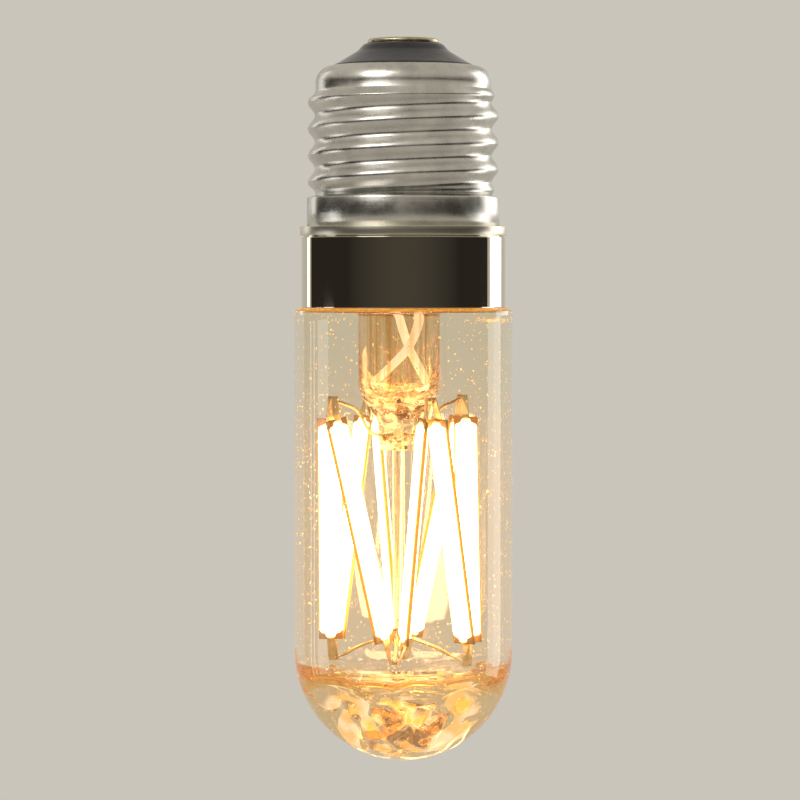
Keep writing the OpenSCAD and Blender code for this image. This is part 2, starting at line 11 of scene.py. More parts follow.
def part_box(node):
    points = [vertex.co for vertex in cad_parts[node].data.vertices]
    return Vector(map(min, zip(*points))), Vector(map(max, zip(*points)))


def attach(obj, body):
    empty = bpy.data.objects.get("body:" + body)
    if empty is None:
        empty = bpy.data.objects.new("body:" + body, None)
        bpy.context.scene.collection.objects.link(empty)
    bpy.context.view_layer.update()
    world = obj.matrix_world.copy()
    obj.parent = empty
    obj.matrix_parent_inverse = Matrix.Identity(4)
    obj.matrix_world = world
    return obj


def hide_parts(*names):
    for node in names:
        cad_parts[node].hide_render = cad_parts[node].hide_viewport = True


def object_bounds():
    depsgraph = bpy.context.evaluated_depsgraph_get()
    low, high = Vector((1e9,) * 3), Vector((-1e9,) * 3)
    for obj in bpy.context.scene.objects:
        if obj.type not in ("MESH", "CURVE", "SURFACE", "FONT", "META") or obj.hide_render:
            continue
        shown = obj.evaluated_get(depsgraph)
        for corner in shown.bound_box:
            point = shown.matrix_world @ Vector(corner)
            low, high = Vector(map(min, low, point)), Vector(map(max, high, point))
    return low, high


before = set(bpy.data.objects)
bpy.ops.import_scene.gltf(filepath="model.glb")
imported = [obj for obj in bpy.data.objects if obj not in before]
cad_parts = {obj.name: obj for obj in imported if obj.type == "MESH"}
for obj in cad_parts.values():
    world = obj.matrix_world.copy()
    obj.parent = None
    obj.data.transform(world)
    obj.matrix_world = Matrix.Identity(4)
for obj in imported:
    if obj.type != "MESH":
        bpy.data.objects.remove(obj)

bl_info = {
    "name": "Tubular filament lamp",
    "version": (1, 0, 0),
    "blender": (4, 5, 0),
    "location": "3D View > Sidebar > Filament lamp",
    "description": "Builds the visible pieces of a tubular filament lamp round its packed solids",
    "category": "Object",
}

MM = 0.001
MERGE = 0.001 * MM
CARD_DISTANCE = 0.35  # from the axis to the dark card round it
BODY = "root"
STRIPS = range(1, 9)

# The lamp hangs with its axis on z. Height 0 is the collar's top, on which the cap stands.
CAD_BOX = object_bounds()
TUBE_LOW, TUBE_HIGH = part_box("glass_tube")
TUBE_R = TUBE_HIGH.x
RIM_Z = TUBE_HIGH.z
DOME_Z = TUBE_LOW.z + TUBE_R  # the centre of the round end
LEDGE_Z = DOME_Z - 2.9 * MM  # the top of the thick glass in it
COLLAR_LOW, COLLAR_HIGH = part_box("collar")
SHELL_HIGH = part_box("screw_shell")[1]
CONTACT_LOW, CONTACT_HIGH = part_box("centre_contact")
INSULATOR_LOW, INSULATOR_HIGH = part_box("cap_insulator")
STEM_LOW, STEM_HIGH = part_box("stem_glass")
EXHAUST_LOW, EXHAUST_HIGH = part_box("exhaust_tube")
ROD_LOW, ROD_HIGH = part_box("centre_rod")
GLUE_LOW, GLUE_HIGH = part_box("rim_adhesive")
STEM_X = (EXHAUST_LOW.x + EXHAUST_HIGH.x) / 2  # the stem stands a little beside the axis


def linear(code):
    """Scene-linear red, green and blue of an sRGB hex colour."""
    parts = [int(code[i:i + 2], 16) / 255 for i in (1, 3, 5)]
    return tuple(c / 12.92 if c <= 0.04045 else ((c + 0.055) / 1.055) ** 2.4 for c in parts)


def size(name, description, millimetres):
    """A length property with its default in millimetres."""
    return FloatProperty(name=name, description=description, default=millimetres * MM, unit="LENGTH",
                         precision=5)


def colour(name, description, code):
    """A colour property with its default as an sRGB hex colour."""
    return FloatVectorProperty(name=name, description=description, default=linear(code), subtype="COLOR",
                               size=3, min=0, max=1)


class LampSizes(bpy.types.PropertyGroup):
    """Sizes of the pieces that are modelled here."""

    glass_wall: size("Tube wall", "Thickness of the glass tube's wall", 1.2)
    dome_relief: size("Dome relief", "Height of the folds inside the dome", 1.0)
    dome_patch: size("Dome patch", "Width of one fold inside the dome", 3.0)
    collar_wall: size("Collar wall", "Thickness of the collar's sheet", 0.8)
    band_height: size("Band height", "Height of the flared band at the collar's top", 1.2)
    band_step: size("Band step", "How far the flared band stands out", 0.2)
    line_width: size("Line width", "Width and depth of the turned line", 0.25)
    neck_radius: size("Neck radius", "Outer radius of the collar's neck", 12.7)
    neck_height: size("Neck height", "Height of the collar's neck inside the cap", 3.6)
    thread_depth: size("Thread depth", "Depth of the rounded thread", 0.95)
    thread_pitch: size("Thread pitch", "Rise of the thread in one turn", 3.63)
    thread_turns: IntProperty(name="Thread turns", description="Number of turns of the thread", default=4)
    skirt_height: size("Skirt height", "Height of the plain skirt below the thread", 4.3)
    shell_wall: size("Shell wall", "Thickness of the shell's sheet metal", 0.4)
    shoulder_radius: size("Shoulder radius", "Rounding where the shell turns in", 2.3)
    mouth_radius: size("Mouth radius", "Radius of the shell's mouth", 9.75)
    stem_radius: size("Stem radius", "Outer radius of the stem tube", 5.6)
    stem_wall: size("Stem wall", "Thickness of the stem tube's wall", 1.0)
    stem_length: size("Stem length", "Length from the rim to the shoulder of the press", 10.6)
    press_radius: size("Press radius", "Half the width of the press at its foot", 2.55)
    press_flat: size("Press flat", "Half the thickness of the press between its flats", 2.1)
    press_relief: size("Press relief", "Height of the crinkles in the press", 0.35)
    exhaust_wall: size("Exhaust wall", "Thickness of the exhaust tube's wall", 0.5)
    rod_diameter: size("Rod diameter", "Diameter of the glass rod", 1.7)
    coat_height: size("Coat height", "Height of the phosphor bead on the plate", 0.45)
    coat_width: size("Coat width", "Width of the phosphor bead", 3.2)
    coat_tip: size("Coat tip", "Width of the bead's narrow tips", 1.3)


class LampColours(bpy.types.PropertyGroup):
    """Colours of the finishes."""

    glass: colour("Glass", "Tint of the tube's glass", "#FEF9EE")
    dome: colour("Dome", "Tint of the dome's thick glass", "#FDF1DC")
    glow: colour("Glow", "Light of the phosphor", "#FFCC94")
    ember: colour("Ember", "Light at the edges of the phosphor", "#FFA640")
    nickel: colour("Nickel", "Polished nickel plate", "#D9D2C0")
    adhesive: colour("Adhesive", "Amber adhesive and ground rim", "#D08A1E")
    sleeve: colour("Sleeve", "Woven sleeve on the lead wires", "#F4E8C8")
    insulator: colour("Insulator", "Black glass of the cap", "#0E0D10")
    backdrop: colour("Backdrop", "Floor and backdrop", "#C9C5BB")


def sizes():
    return bpy.context.scene.lamp_sizes


def colours():
    return bpy.context.scene.lamp_colours


# Modelling helpers

def deselect():
    bpy.ops.object.select_all(action="DESELECT")


def activate(piece):
    deselect()
    piece.select_set(True)
    bpy.context.view_layer.objects.active = piece


def edit(piece):
    activate(piece)
    bpy.ops.object.mode_set(mode="EDIT")


def leave_edit():
    bpy.ops.object.mode_set(mode="OBJECT")


def select_mesh():
    """Selects all of the mesh in edit mode."""
    bpy.ops.mesh.select_all(action="SELECT")


def pick(piece, wanted, kind="verts"):
    """Selects in edit mode the vertices or edges that are wanted, and nothing else."""
    bpy.ops.mesh.select_all(action="DESELECT")
    bpy.ops.mesh.select_mode(type={"verts": "VERT", "edges": "EDGE"}[kind])
    mesh = bmesh.from_edit_mesh(piece.data)
    for part in getattr(mesh, kind):
        if wanted(part):
            part.select_set(True)
    mesh.select_flush_mode()
    bmesh.update_edit_mesh(piece.data)


def outline_points(name, outline):
    """A piece in edit mode whose vertices follow an outline of (radius, height) points."""
    deselect()
    bpy.ops.mesh.primitive_plane_add(size=MM)
    piece = bpy.context.object
    piece.name = piece.data.name = name
    bpy.ops.object.mode_set(mode="EDIT")
    select_mesh()
    bpy.ops.mesh.merge(type="CENTER")
    bpy.ops.transform.translate(value=(outline[0][0], 0, outline[0][1]))
    for here, there in zip(outline, outline[1:]):
        step = (there[0] - here[0], 0, there[1] - here[1])
        bpy.ops.mesh.extrude_vertices_move(TRANSFORM_OT_translate={"value": step})
    return piece


def turned(name, outline, steps=128, ring=False):
    """A piece turned about the lamp's axis. A ring's outline is joined at its ends."""
    piece = outline_points(name, outline)
    if ring:
        count = len(outline)
        pick(piece, lambda v: v.index in (0, count - 1))
        bpy.ops.mesh.edge_face_add()
    select_mesh()
    bpy.ops.mesh.spin(steps=steps, angle=2 * math.pi, center=(0, 0, 0), axis=(0, 0, 1))
    select_mesh()
    bpy.ops.mesh.remove_doubles(threshold=MERGE)
    bpy.ops.mesh.delete_loose()
    select_mesh()
    bpy.ops.mesh.normals_make_consistent(inside=False)
    leave_edit()
    return piece


def arc(centre, radius, start, end, count):
    """Points of an arc in the outline's plane, with its angles in degrees from the radial direction."""
    angles = [math.radians(start + (end - start) * i / count) for i in range(count + 1)]
    return [(centre[0] + radius * math.cos(a), centre[1] + radius * math.sin(a)) for a in angles]


def divided(start, end, count):
    """The points that divide a line in equal steps, with its end and without its start."""
    return [tuple(start[k] + (end[k] - start[k]) * i / count for k in (0, 1)) for i in range(1, count + 1)]


def rounded(points, times=3):
    """An outline whose corners are cut again and again, until it is smooth."""
    for _ in range(times):
        cuts = [(a, b, share) for a, b in zip(points, points[1:]) for share in (0.25, 0.75)]
        middle = [tuple(a[k] + (b[k] - a[k]) * share for k in (0, 1)) for a, b, share in cuts]
        points = [points[0], *middle, points[-1]]
    return points


def modify(piece, kind, **settings):
    """Adds a modifier and applies it."""
    activate(piece)
    modifier = piece.modifiers.new(kind.title(), kind)
    for name, value in settings.items():
        setattr(modifier, name, value)
    bpy.ops.object.modifier_apply(modifier=modifier.name)


def bevel(piece, width, segments, degrees):
    """Rounds the edges that turn by more than an angle."""
    modify(piece, "BEVEL", width=width, segments=segments, limit_method="ANGLE",
           angle_limit=math.radians(degrees))


def smooth(piece, degrees):
    """Smooth shading up to an angle."""
    activate(piece)
    bpy.ops.object.shade_smooth_by_angle(angle=math.radians(degrees))


def weigh(piece, group, weight):
    """A vertex group whose weights come from the place of each vertex."""
    made = piece.vertex_groups.new(name=group)
    for vertex in piece.data.vertices:
        made.add([vertex.index], max(0.0, min(1.0, weight(vertex.co))), "REPLACE")
    return made.name


def emboss(piece, name, kind, width, strength, middle, group="", direction="NORMAL", **settings):
    """Pushes the surface in and out by a procedural texture, with waves of that width."""
    texture = bpy.data.textures.new(name, kind)
    texture.noise_scale = width
    for key, value in settings.items():
        setattr(texture, key, value)
    modify(piece, "DISPLACE", texture=texture, vertex_group=group, direction=direction, strength=strength,
           mid_level=middle, texture_coords="LOCAL")


def shift_x(piece, distance):
    """Moves the mesh of a piece sideways."""
    edit(piece)
    select_mesh()
    bpy.ops.transform.translate(value=(distance, 0, 0))
    leave_edit()


def refined(node, name):
    """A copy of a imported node: its triangles are merged and joined to quads, and subdivision rounds it."""
    piece = bpy.data.objects.new(name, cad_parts[node].data.copy())
    bpy.context.scene.collection.objects.link(piece)
    edit(piece)
    select_mesh()
    bpy.ops.mesh.customdata_custom_splitnormals_clear()
    bpy.ops.mesh.remove_doubles(threshold=MERGE)
    bpy.ops.mesh.tris_convert_to_quads(face_threshold=math.radians(60), shape_threshold=math.radians(60))
    bpy.ops.mesh.faces_shade_smooth()
    leave_edit()
    modify(piece, "SUBSURF", levels=1, render_levels=1)
    return piece


def place(piece, slot, material, *nodes):
    """Finishes a piece: its material, its body and the nodes that it stands for. Its slot is not used."""
    piece.data.materials.clear()
    piece.data.materials.append(material)
    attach(piece, BODY)
    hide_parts(*nodes)


def dress(node, material):
    """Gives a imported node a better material."""
    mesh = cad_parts[node].data
    if not mesh.materials:
        mesh.materials.append(material)
    for i in range(len(mesh.materials)):
        mesh.materials[i] = material


# Material helpers

def rgba(tone):
    """Scene-linear colour, with full alpha, of an sRGB hex colour or of a colour property."""
    return (*(linear(tone) if isinstance(tone, str) else tone), 1.0)


def add(tree, kind, inputs=(), stops=(), **properties):
    """Adds a shader node, and sets and links its inputs, which go by their order or by name.

    The value of an input is a socket, a node, whose first output is meant, or a constant. Stops are the
    (position, colour) pairs of a colour ramp.
    """
    made = tree.nodes.new("ShaderNode" + kind)
    for name, value in properties.items():
        setattr(made, name, value)
    for name, value in inputs.items() if isinstance(inputs, dict) else enumerate(inputs):
        socket = made.inputs[name]
        if isinstance(value, bpy.types.Node):
            value = value.outputs[0]
        if isinstance(value, bpy.types.NodeSocket):
            tree.links.new(value, socket)
        else:
            socket.default_value = rgba(value) if socket.type == "RGBA" else value
    for i, (position, tone) in enumerate(stops):
        elements = made.color_ramp.elements
        element = elements[i] if i < len(elements) else elements.new(1)
        element.position = position
        element.color = rgba(tone)
    return made


def new_material(name):
    """An empty node material and its tree."""
    made = bpy.data.materials.new(name)
    made.use_nodes = True
    made.node_tree.nodes.clear()
    return made, made.node_tree


def finish_material(made, surface, volume=None):
    """Links a material's surface, and its volume where it has one."""
    add(made.node_tree, "OutputMaterial", [surface] if volume is None else [surface, volume])
    return made


def pattern(tree, kind, millimetres, stretch=(1, 1, 1), inputs=(), **properties):
    """A procedural pattern on the piece's own coordinates, whose features are that wide."""
    spot = add(tree, "TexCoord").outputs["Object"]
    spot = add(tree, "Mapping", {"Vector": spot, "Scale": [1 / s for s in stretch]})
    inputs = {"Vector": spot, "Scale": 1 / (millimetres * MM), **dict(inputs)}
    return add(tree, kind, inputs, **properties)


def height_mask(tree, none, full):
    """0 at one height and 1 at the other, in metres."""
    height = add(tree, "SeparateXYZ", [add(tree, "TexCoord").outputs["Object"]]).outputs["Z"]
    return add(tree, "MapRange", [height, none, full, 0, 1])


def lamps_pass(tree, surface, tint):
    """Lets the light of lamps through glass, so that what is inside is lit."""
    shadow = add(tree, "LightPath").outputs["Is Shadow Ray"]
    return add(tree, "MixShader", [shadow, surface, add(tree, "BsdfTransparent", [tint])])


# Materials

def bowl_mask(tree):
    """1 on the folded bowl inside the dome, and 0 on the rest of the tube."""
    spot = add(tree, "TexCoord").outputs["Object"]
    inward = add(tree, "VectorMath", [spot, (0, 0, DOME_Z)], operation="DISTANCE").outputs["Value"]
    flat = add(tree, "VectorMath", [spot, (1, 1, 0)], operation="MULTIPLY")
    aside = add(tree, "VectorMath", [flat], operation="LENGTH").outputs["Value"]
    off_wall = add(tree, "MapRange", [inward, TUBE_R - 1.2 * MM, TUBE_R - 1.0 * MM, 1, 0])
    central = add(tree, "MapRange", [aside, 7.4 * MM, 8.2 * MM, 1, 0])
    inner = add(tree, "Math", [off_wall, central], operation="MULTIPLY")
    return add(tree, "Math", [inner, height_mask(tree, LEDGE_Z, LEDGE_Z - 0.6 * MM)], operation="MULTIPLY")


def dirt_mask(tree):
    """How dirty the tube is: dust in loose clumps, grains at the rim, and a smear under it at the right."""
    cells = pattern(tree, "TexVoronoi", 0.95)
    chance = add(tree, "SeparateColor", [cells.outputs["Color"]]).outputs["Red"]
    radius = add(tree, "MapRange", [chance, 0, 1, 0.05, 0.17])
    specks = add(tree, "Math", [cells.outputs["Distance"], radius], operation="LESS_THAN")
    clumps = pattern(tree, "TexNoise", 8, inputs={"Detail": 2})
    thick = add(tree, "MapRange", [clumps, 0.36, 0.5, 0.2, 1])
    dust = add(tree, "Math", [specks, thick], operation="MULTIPLY")

    noise = pattern(tree, "TexNoise", 0.28, inputs={"Detail": 3, "Roughness": 0.7})
    grains = add(tree, "MapRange", [noise, 0.54, 0.58, 0, 1])
    patchy = add(tree, "MapRange", [clumps, 0.47, 0.62, 0.05, 0.5])
    at_rim = add(tree, "Math", [height_mask(tree, RIM_Z - 0.7 * MM, RIM_Z), patchy], operation="MULTIPLY")
    residue = add(tree, "Math", [grains, at_rim], operation="MULTIPLY")

    spot = add(tree, "SeparateXYZ", [add(tree, "TexCoord").outputs["Object"]]).outputs
    over = add(tree, "MapRange", [spot["Z"], RIM_Z - 1.7 * MM, RIM_Z - 1.4 * MM, 0, 1])
    under = add(tree, "MapRange", [spot["Z"], RIM_Z - 1.3 * MM, RIM_Z - 1.0 * MM, 1, 0])
    right = add(tree, "MapRange", [spot["X"], 10.2 * MM, 11 * MM, 0, 1])
    streak = add(tree, "Math", [over, under], operation="MULTIPLY")
    streak = add(tree, "Math", [streak, right], operation="MULTIPLY")
    noise = pattern(tree, "TexNoise", 1.1, (1, 1, 0.6), {"Detail": 3})
    wisps = add(tree, "MapRange", [noise, 0.54, 0.6, 0, 0.8])
    smear = add(tree, "Math", [streak, wisps], operation="MULTIPLY")
    residue = add(tree, "Math", [residue, smear], operation="MAXIMUM")
    return add(tree, "Math", [dust, residue], operation="MAXIMUM", use_clamp=True)


def blown_glass():
    """Blown soda-lime tube: clear, glossy and a little dusty, and golden in its thick dome.

    The folds of the dome have a painted highlight, cream and gold, where they would catch the light of the
    strips, and painted brown shade between. The dust has a painted glow, and the wall beside the strips a
    faint painted glow, as dusty glass has near a bright light.
    """
    made, tree = new_material("blown_soda_lime_glass")
    tint = colours().glass
    above_dome = height_mask(tree, DOME_Z - 8 * MM, DOME_Z - 1.5 * MM)
    tone = add(tree, "ValToRGB", [above_dome], [(0.0, colours().dome), (1.0, tint)])
    in_bowl = bowl_mask(tree)
    folds = pattern(tree, "TexNoise", 4.4, (1, 1, 0.7), {"Detail": 0, "Distortion": 1.1})
    # Painted shade: the hollows of the folds inside the bowl are tinted brown (#A07842).
    painted_shade_spots = add(tree, "MapRange", [folds, 0.42, 0.46, 0.95, 0])
    painted_shade = add(tree, "Math", [painted_shade_spots, in_bowl], operation="MULTIPLY")
    waves = pattern(tree, "TexNoise", 7, (1, 1, 2.5), {"Detail": 1})
    clear = add(tree, "BsdfPrincipled", {
        "Base Color": add(tree, "Mix", {0: painted_shade, 6: tone, 7: "#A07842"}, data_type="RGBA").outputs[2],
        "Transmission Weight": 1.0, "IOR": 1.52, "Roughness": 0.0,
        "Normal": add(tree, "Bump", {"Height": waves, "Distance": 0.02 * MM})})

    # Painted highlight: cream and gold emission on the crests of the folds inside the bowl, for the light of
    # the strips that they would reflect.
    hue = pattern(tree, "TexNoise", 3, inputs={"Detail": 1})
    painted_highlight_colour = add(tree, "ValToRGB", [hue], [(0.46, "#FFB24E"), (0.6, "#FFE3D2")])
    painted_highlight = add(tree, "BsdfPrincipled", {
        "Base Color": painted_highlight_colour, "Transmission Weight": 0.6, "IOR": 1.52, "Roughness": 0.15,
        "Emission Color": painted_highlight_colour, "Emission Strength": 0.75})
    painted_glow_crests = add(tree, "MapRange", [folds, 0.51, 0.56, 0, 0.8])
    painted_highlight_share = add(tree, "Math", [painted_glow_crests, in_bowl], operation="MULTIPLY")
    glass = lamps_pass(tree, add(tree, "MixShader", [painted_highlight_share, clear, painted_highlight]), tint)

    # Dust and residue in their own pale colour, with a painted glow from the emission.
    dust_with_painted_glow = add(tree, "BsdfPrincipled", {
        "Base Color": "#FFDFA6", "Roughness": 0.8, "Emission Color": "#FFC56E", "Emission Strength": 0.7})
    dusty = add(tree, "MixShader", [dirt_mask(tree), glass, dust_with_painted_glow])
    # Painted glow: faint amber emission on the wall beside the strips.
    beside_strips = height_mask(tree, RIM_Z - 4 * MM, RIM_Z - 24 * MM)
    painted_haze = add(tree, "Emission", [colours().ember, add(tree, "MapRange", [beside_strips, 0, 1, 0, 0.03])])
    amber = add(tree, "VolumeAbsorption", {"Color": "#F1E1A0", "Density": 55.0})
    return finish_material(made, add(tree, "AddShader", [dusty, painted_haze]), amber)


def ground_rim():
    """Cut and ground end of the tube: rough, and bright with the light that runs up the wall."""
    made, tree = new_material("ground_glass_rim")
    grit = pattern(tree, "TexNoise", 0.35, inputs={"Detail": 4, "Roughness": 0.7})
    golds = [(0.3, "#8A4F0E"), (0.62, colours().adhesive), (0.85, "#FFE2A0")]
    surface = add(tree, "BsdfPrincipled", {
        "Base Color": add(tree, "ValToRGB", [grit], golds), "Roughness": 0.45,
        "Transmission Weight": 0.35, "IOR": 1.52, "Emission Color": "#FFC04A", "Emission Strength": 0.3,
        "Normal": add(tree, "Bump", {"Height": grit, "Distance": 0.12 * MM})})
    return finish_material(made, surface)


def amber_adhesive():
    """Cured amber adhesive, squeezed out in a lumpy glossy bead with bright grains, and with a painted glow.
    """
    made, tree = new_material("amber_adhesive")
    lumps = pattern(tree, "TexNoise", 0.8, inputs={"Detail": 5, "Roughness": 0.65})
    golds = [(0.32, "#5E340A"), (0.55, colours().adhesive), (0.78, "#FFD98C")]
    # Painted glow: the emission stands in for the strips' light caught in the adhesive.
    surface = add(tree, "BsdfPrincipled", {
        "Base Color": add(tree, "ValToRGB", [lumps], golds), "Roughness": 0.28,
        "Coat Weight": 0.4, "Coat Roughness": 0.1, "Emission Color": "#FFBC50", "Emission Strength": 0.4,
        "Normal": add(tree, "Bump", {"Height": lumps, "Distance": 0.08 * MM})})
    return finish_material(made, surface)


def stem_glass():
    """Drawn and pinched stem glass: clear, with amber draw streaks, and crinkled and frosted in the press,
    where its crests have a painted glow.
    """
    made, tree = new_material("pressed_stem_glass")
    tint = "#FFFBF2"
    press_z = RIM_Z - sizes().stem_length
    in_press = add(tree, "MapRange", [height_mask(tree, press_z - 2 * MM, press_z + 0.5 * MM), 0, 1, 1, 0])
    folds = pattern(tree, "TexNoise", 2.2, (1, 1, 0.6), {"Detail": 2, "Roughness": 0.5, "Distortion": 1.0})
    bubbles = pattern(tree, "TexVoronoi", 1.4)
    crinkles = add(tree, "Math", [add(tree, "Math", [folds, bubbles], operation="ADD"), in_press],
                   operation="MULTIPLY")
    draws = pattern(tree, "TexNoise", 0.7, (1, 1, 60), {"Detail": 3})
    streaks = [(0.38, "#E8C07C"), (0.5, tint), (0.62, tint), (0.72, "#F0D6A4")]
    clear = add(tree, "BsdfPrincipled", {
        "Base Color": add(tree, "ValToRGB", [draws], streaks),
        "Transmission Weight": 1.0, "IOR": 1.54, "Roughness": 0.02,
        "Normal": add(tree, "Bump", {"Height": crinkles, "Distance": 0.12 * MM})})
    # Rough frost with a painted glow: the emission stands in for the strips' light caught in the press.
    frost_with_painted_glow = add(tree, "BsdfPrincipled", {
        "Base Color": "#FFEFD0", "Roughness": 0.4, "Transmission Weight": 0.5, "IOR": 1.54,
        "Emission Color": "#FFDFA8", "Emission Strength": 0.45})
    painted_glow_crests = add(tree, "MapRange", [folds, 0.48, 0.56, 0, 0.85])
    painted_glow_flecks = add(tree, "Math", [painted_glow_crests, in_press], operation="MULTIPLY")
    frosted = add(tree, "MixShader", [painted_glow_flecks, lamps_pass(tree, clear, tint), frost_with_painted_glow])
    amber = add(tree, "VolumeAbsorption", {"Color": "#F0D48C", "Density": 130.0})
    return finish_material(made, frosted, amber)


def drawn_glass():
    """Drawn glass tube and rod: clear, with faint draw lines, and golden where one looks along the wall."""
    made, tree = new_material("drawn_lead_free_glass")
    tint = "#FFFBF2"
    lines = pattern(tree, "TexNoise", 0.3, (1, 1, 60), {"Detail": 2})
    surface = add(tree, "BsdfPrincipled", {
        "Base Color": tint, "Transmission Weight": 1.0, "IOR": 1.54, "Roughness": 0.01,
        "Normal": add(tree, "Bump", {"Height": lines, "Distance": 0.01 * MM})})
    amber = add(tree, "VolumeAbsorption", {"Color": "#F2DA96", "Density": 330.0})
    return finish_material(made, lamps_pass(tree, surface, tint), amber)


def polished_nickel():
    """Buffed nickel plate: a warm mirror with hairline scratches round it, and a brushed band on top."""
    made, tree = new_material("polished_nickel_plate")
    hairs = pattern(tree, "TexNoise", 0.12, (90, 90, 1), {"Detail": 2})
    smears = pattern(tree, "TexNoise", 6, inputs={"Detail": 3, "Roughness": 0.6})
    band = height_mask(tree, -sizes().band_height - 0.02 * MM, -sizes().band_height + 0.02 * MM)
    buffed = add(tree, "MapRange", [smears, 0.4, 0.75, 0.03, 0.07])
    surface = add(tree, "BsdfPrincipled", {
        "Base Color": colours().nickel, "Metallic": 1.0,
        "Roughness": add(tree, "Mix", {0: band, 2: buffed, 3: 0.3}, data_type="FLOAT"),
        "Normal": add(tree, "Bump", {"Height": hairs, "Distance": 0.0005 * MM})})
    return finish_material(made, surface)


def cap_sheet():
    """Rolled nickel-plated sheet of the screw cap: satin, and cloudy where hands have rubbed it."""
    made, tree = new_material("rolled_cap_sheet")
    grain = pattern(tree, "TexNoise", 0.3, (40, 40, 1), {"Detail": 3})
    clouds = pattern(tree, "TexNoise", 4, inputs={"Detail": 4, "Roughness": 0.6})
    surface = add(tree, "BsdfPrincipled", {
        "Base Color": add(tree, "ValToRGB", [clouds], [(0.3, "#B9B6AE"), (0.7, "#DEDBD3")]), "Metallic": 1.0,
        "Roughness": add(tree, "MapRange", [clouds, 0.3, 0.7, 0.22, 0.36]),
        "Normal": add(tree, "Bump", {"Height": grain, "Distance": 0.01 * MM})})
    return finish_material(made, surface)


def cap_glass():
    """Black insulating glass, pressed while hot: glossy, with a slight orange-peel skin."""
    made, tree = new_material("pressed_black_glass")
    skin = pattern(tree, "TexNoise", 1.5, inputs={"Detail": 3})
    blacks = [(0.35, colours().insulator), (0.75, "#1D1A22")]
    surface = add(tree, "BsdfPrincipled", {
        "Base Color": add(tree, "ValToRGB", [skin], blacks), "IOR": 1.55,
        "Roughness": add(tree, "MapRange", [skin, 0.3, 0.7, 0.08, 0.2]),
        "Normal": add(tree, "Bump", {"Height": skin, "Distance": 0.05 * MM})})
    return finish_material(made, surface)


def plain_finish(name, dark, light, roughness, patch_mm, bump_mm, sockets=(), stretch=(1, 1, 1), spread=0.2):
    """A finish whose tone and relief vary in patches, and its roughness by the share spread."""
    made, tree = new_material(name)
    patches = pattern(tree, "TexNoise", patch_mm, stretch, {"Detail": 4, "Roughness": 0.6})
    smoothest, roughest = roughness * (1 - spread), roughness * (1 + spread)
    surface = add(tree, "BsdfPrincipled", {
        "Base Color": add(tree, "ValToRGB", [patches], [(0.3, dark), (0.7, light)]),
        "Roughness": add(tree, "MapRange", [patches, 0.3, 0.7, smoothest, roughest]),
        "Normal": add(tree, "Bump", {"Height": patches, "Distance": bump_mm * MM}), **dict(sockets)})
    return finish_material(made, surface)


def plain_metal(name, dark, light, roughness, patch_mm, bump_mm, stretch=(1, 1, 1)):
    """A bare or plated metal of that finish."""
    return plain_finish(name, dark, light, roughness, patch_mm, bump_mm, {"Metallic": 1.0}, stretch, 0.25)


def two_tone(name, low, high, below, above, roughness, metallic_above=0.0):
    """A finish that changes between two heights, with the colour below and the colour above them."""
    made, tree = new_material(name)
    mask = height_mask(tree, low, high)
    patches = pattern(tree, "TexNoise", 0.6, inputs={"Detail": 3})
    surface = add(tree, "BsdfPrincipled", {
        "Base Color": add(tree, "Mix", {0: mask, 6: below, 7: above}, data_type="RGBA").outputs[2],
        "Metallic": add(tree, "MapRange", [mask, 0, 1, 0, metallic_above]),
        "Roughness": add(tree, "MapRange", [patches, 0.3, 0.7, roughness * 0.8, roughness * 1.2]),
        "Normal": add(tree, "Bump", {"Height": patches, "Distance": 0.02 * MM})})
    return finish_material(made, surface)


def woven_sleeve():
    """Silicone-filled woven glass-fibre sleeve: cream, slightly translucent, with a fine braid, and a painted
    glow.

    The real braid is finer than the render shows, so it is drawn coarser.
    """
    made, tree = new_material("woven_sleeve")
    rise = pattern(tree, "TexWave", 0.55, inputs={"Distortion": 1.0, "Detail": 1.0}, wave_type="BANDS",
                   bands_direction="DIAGONAL").outputs["Fac"]
    cross = pattern(tree, "TexVoronoi", 0.35)
    braid = add(tree, "Math", [rise, cross], operation="MULTIPLY")
    creams = [(0.1, "#E2CDA0"), (0.6, colours().sleeve), (0.9, "#FFFAEC")]
    # Painted glow: the emission stands in for the strips' light on the sleeve.
    surface = add(tree, "BsdfPrincipled", {
        "Base Color": add(tree, "ValToRGB", [braid], creams), "Roughness": 0.5,
        "Subsurface Weight": 0.3, "Subsurface Radius": (0.001, 0.0007, 0.0004), "Subsurface Scale": 0.5,
        "Emission Color": "#FFEED4", "Emission Strength": 0.9,
        "Normal": add(tree, "Bump", {"Height": braid, "Distance": 0.04 * MM})})
    return finish_material(made, surface)


def off_middle(tree, axis):
    """How far a point lies off its strip's middle, up to 1 at the edge: X is across it and Z along it."""
    spot = add(tree, "Attribute", attribute_name="on_strip").outputs["Vector"]
    spot = add(tree, "SeparateXYZ", [spot]).outputs[axis]
    return add(tree, "Math", [spot], operation="ABSOLUTE")


def lit_phosphor():
    """Yellow phosphor in clear silicone over lit chips: white-hot, and amber at its edges and tips."""
    made, tree = new_material("lit_phosphor_silicone")
    inside = add(tree, "MapRange", [off_middle(tree, "X"), 0.90, 0.96, 1, 0])
    between_tips = add(tree, "MapRange", [off_middle(tree, "Z"), 0.955, 0.985, 1, 0])
    heat = add(tree, "Math", [inside, between_tips], operation="MULTIPLY")
    grain = pattern(tree, "TexNoise", 0.25, inputs={"Detail": 3})
    surface = add(tree, "BsdfPrincipled", {
        "Base Color": "#C98A2C", "Roughness": 0.35,
        "Emission Color": add(tree, "ValToRGB", [heat], [(0.0, colours().ember), (0.6, colours().glow)]),
        "Emission Strength": add(tree, "MapRange", [heat, 0, 1, 1.1, 19.0]),
        "Normal": add(tree, "Bump", {"Height": grain, "Distance": 0.01 * MM})})
    return finish_material(made, surface)


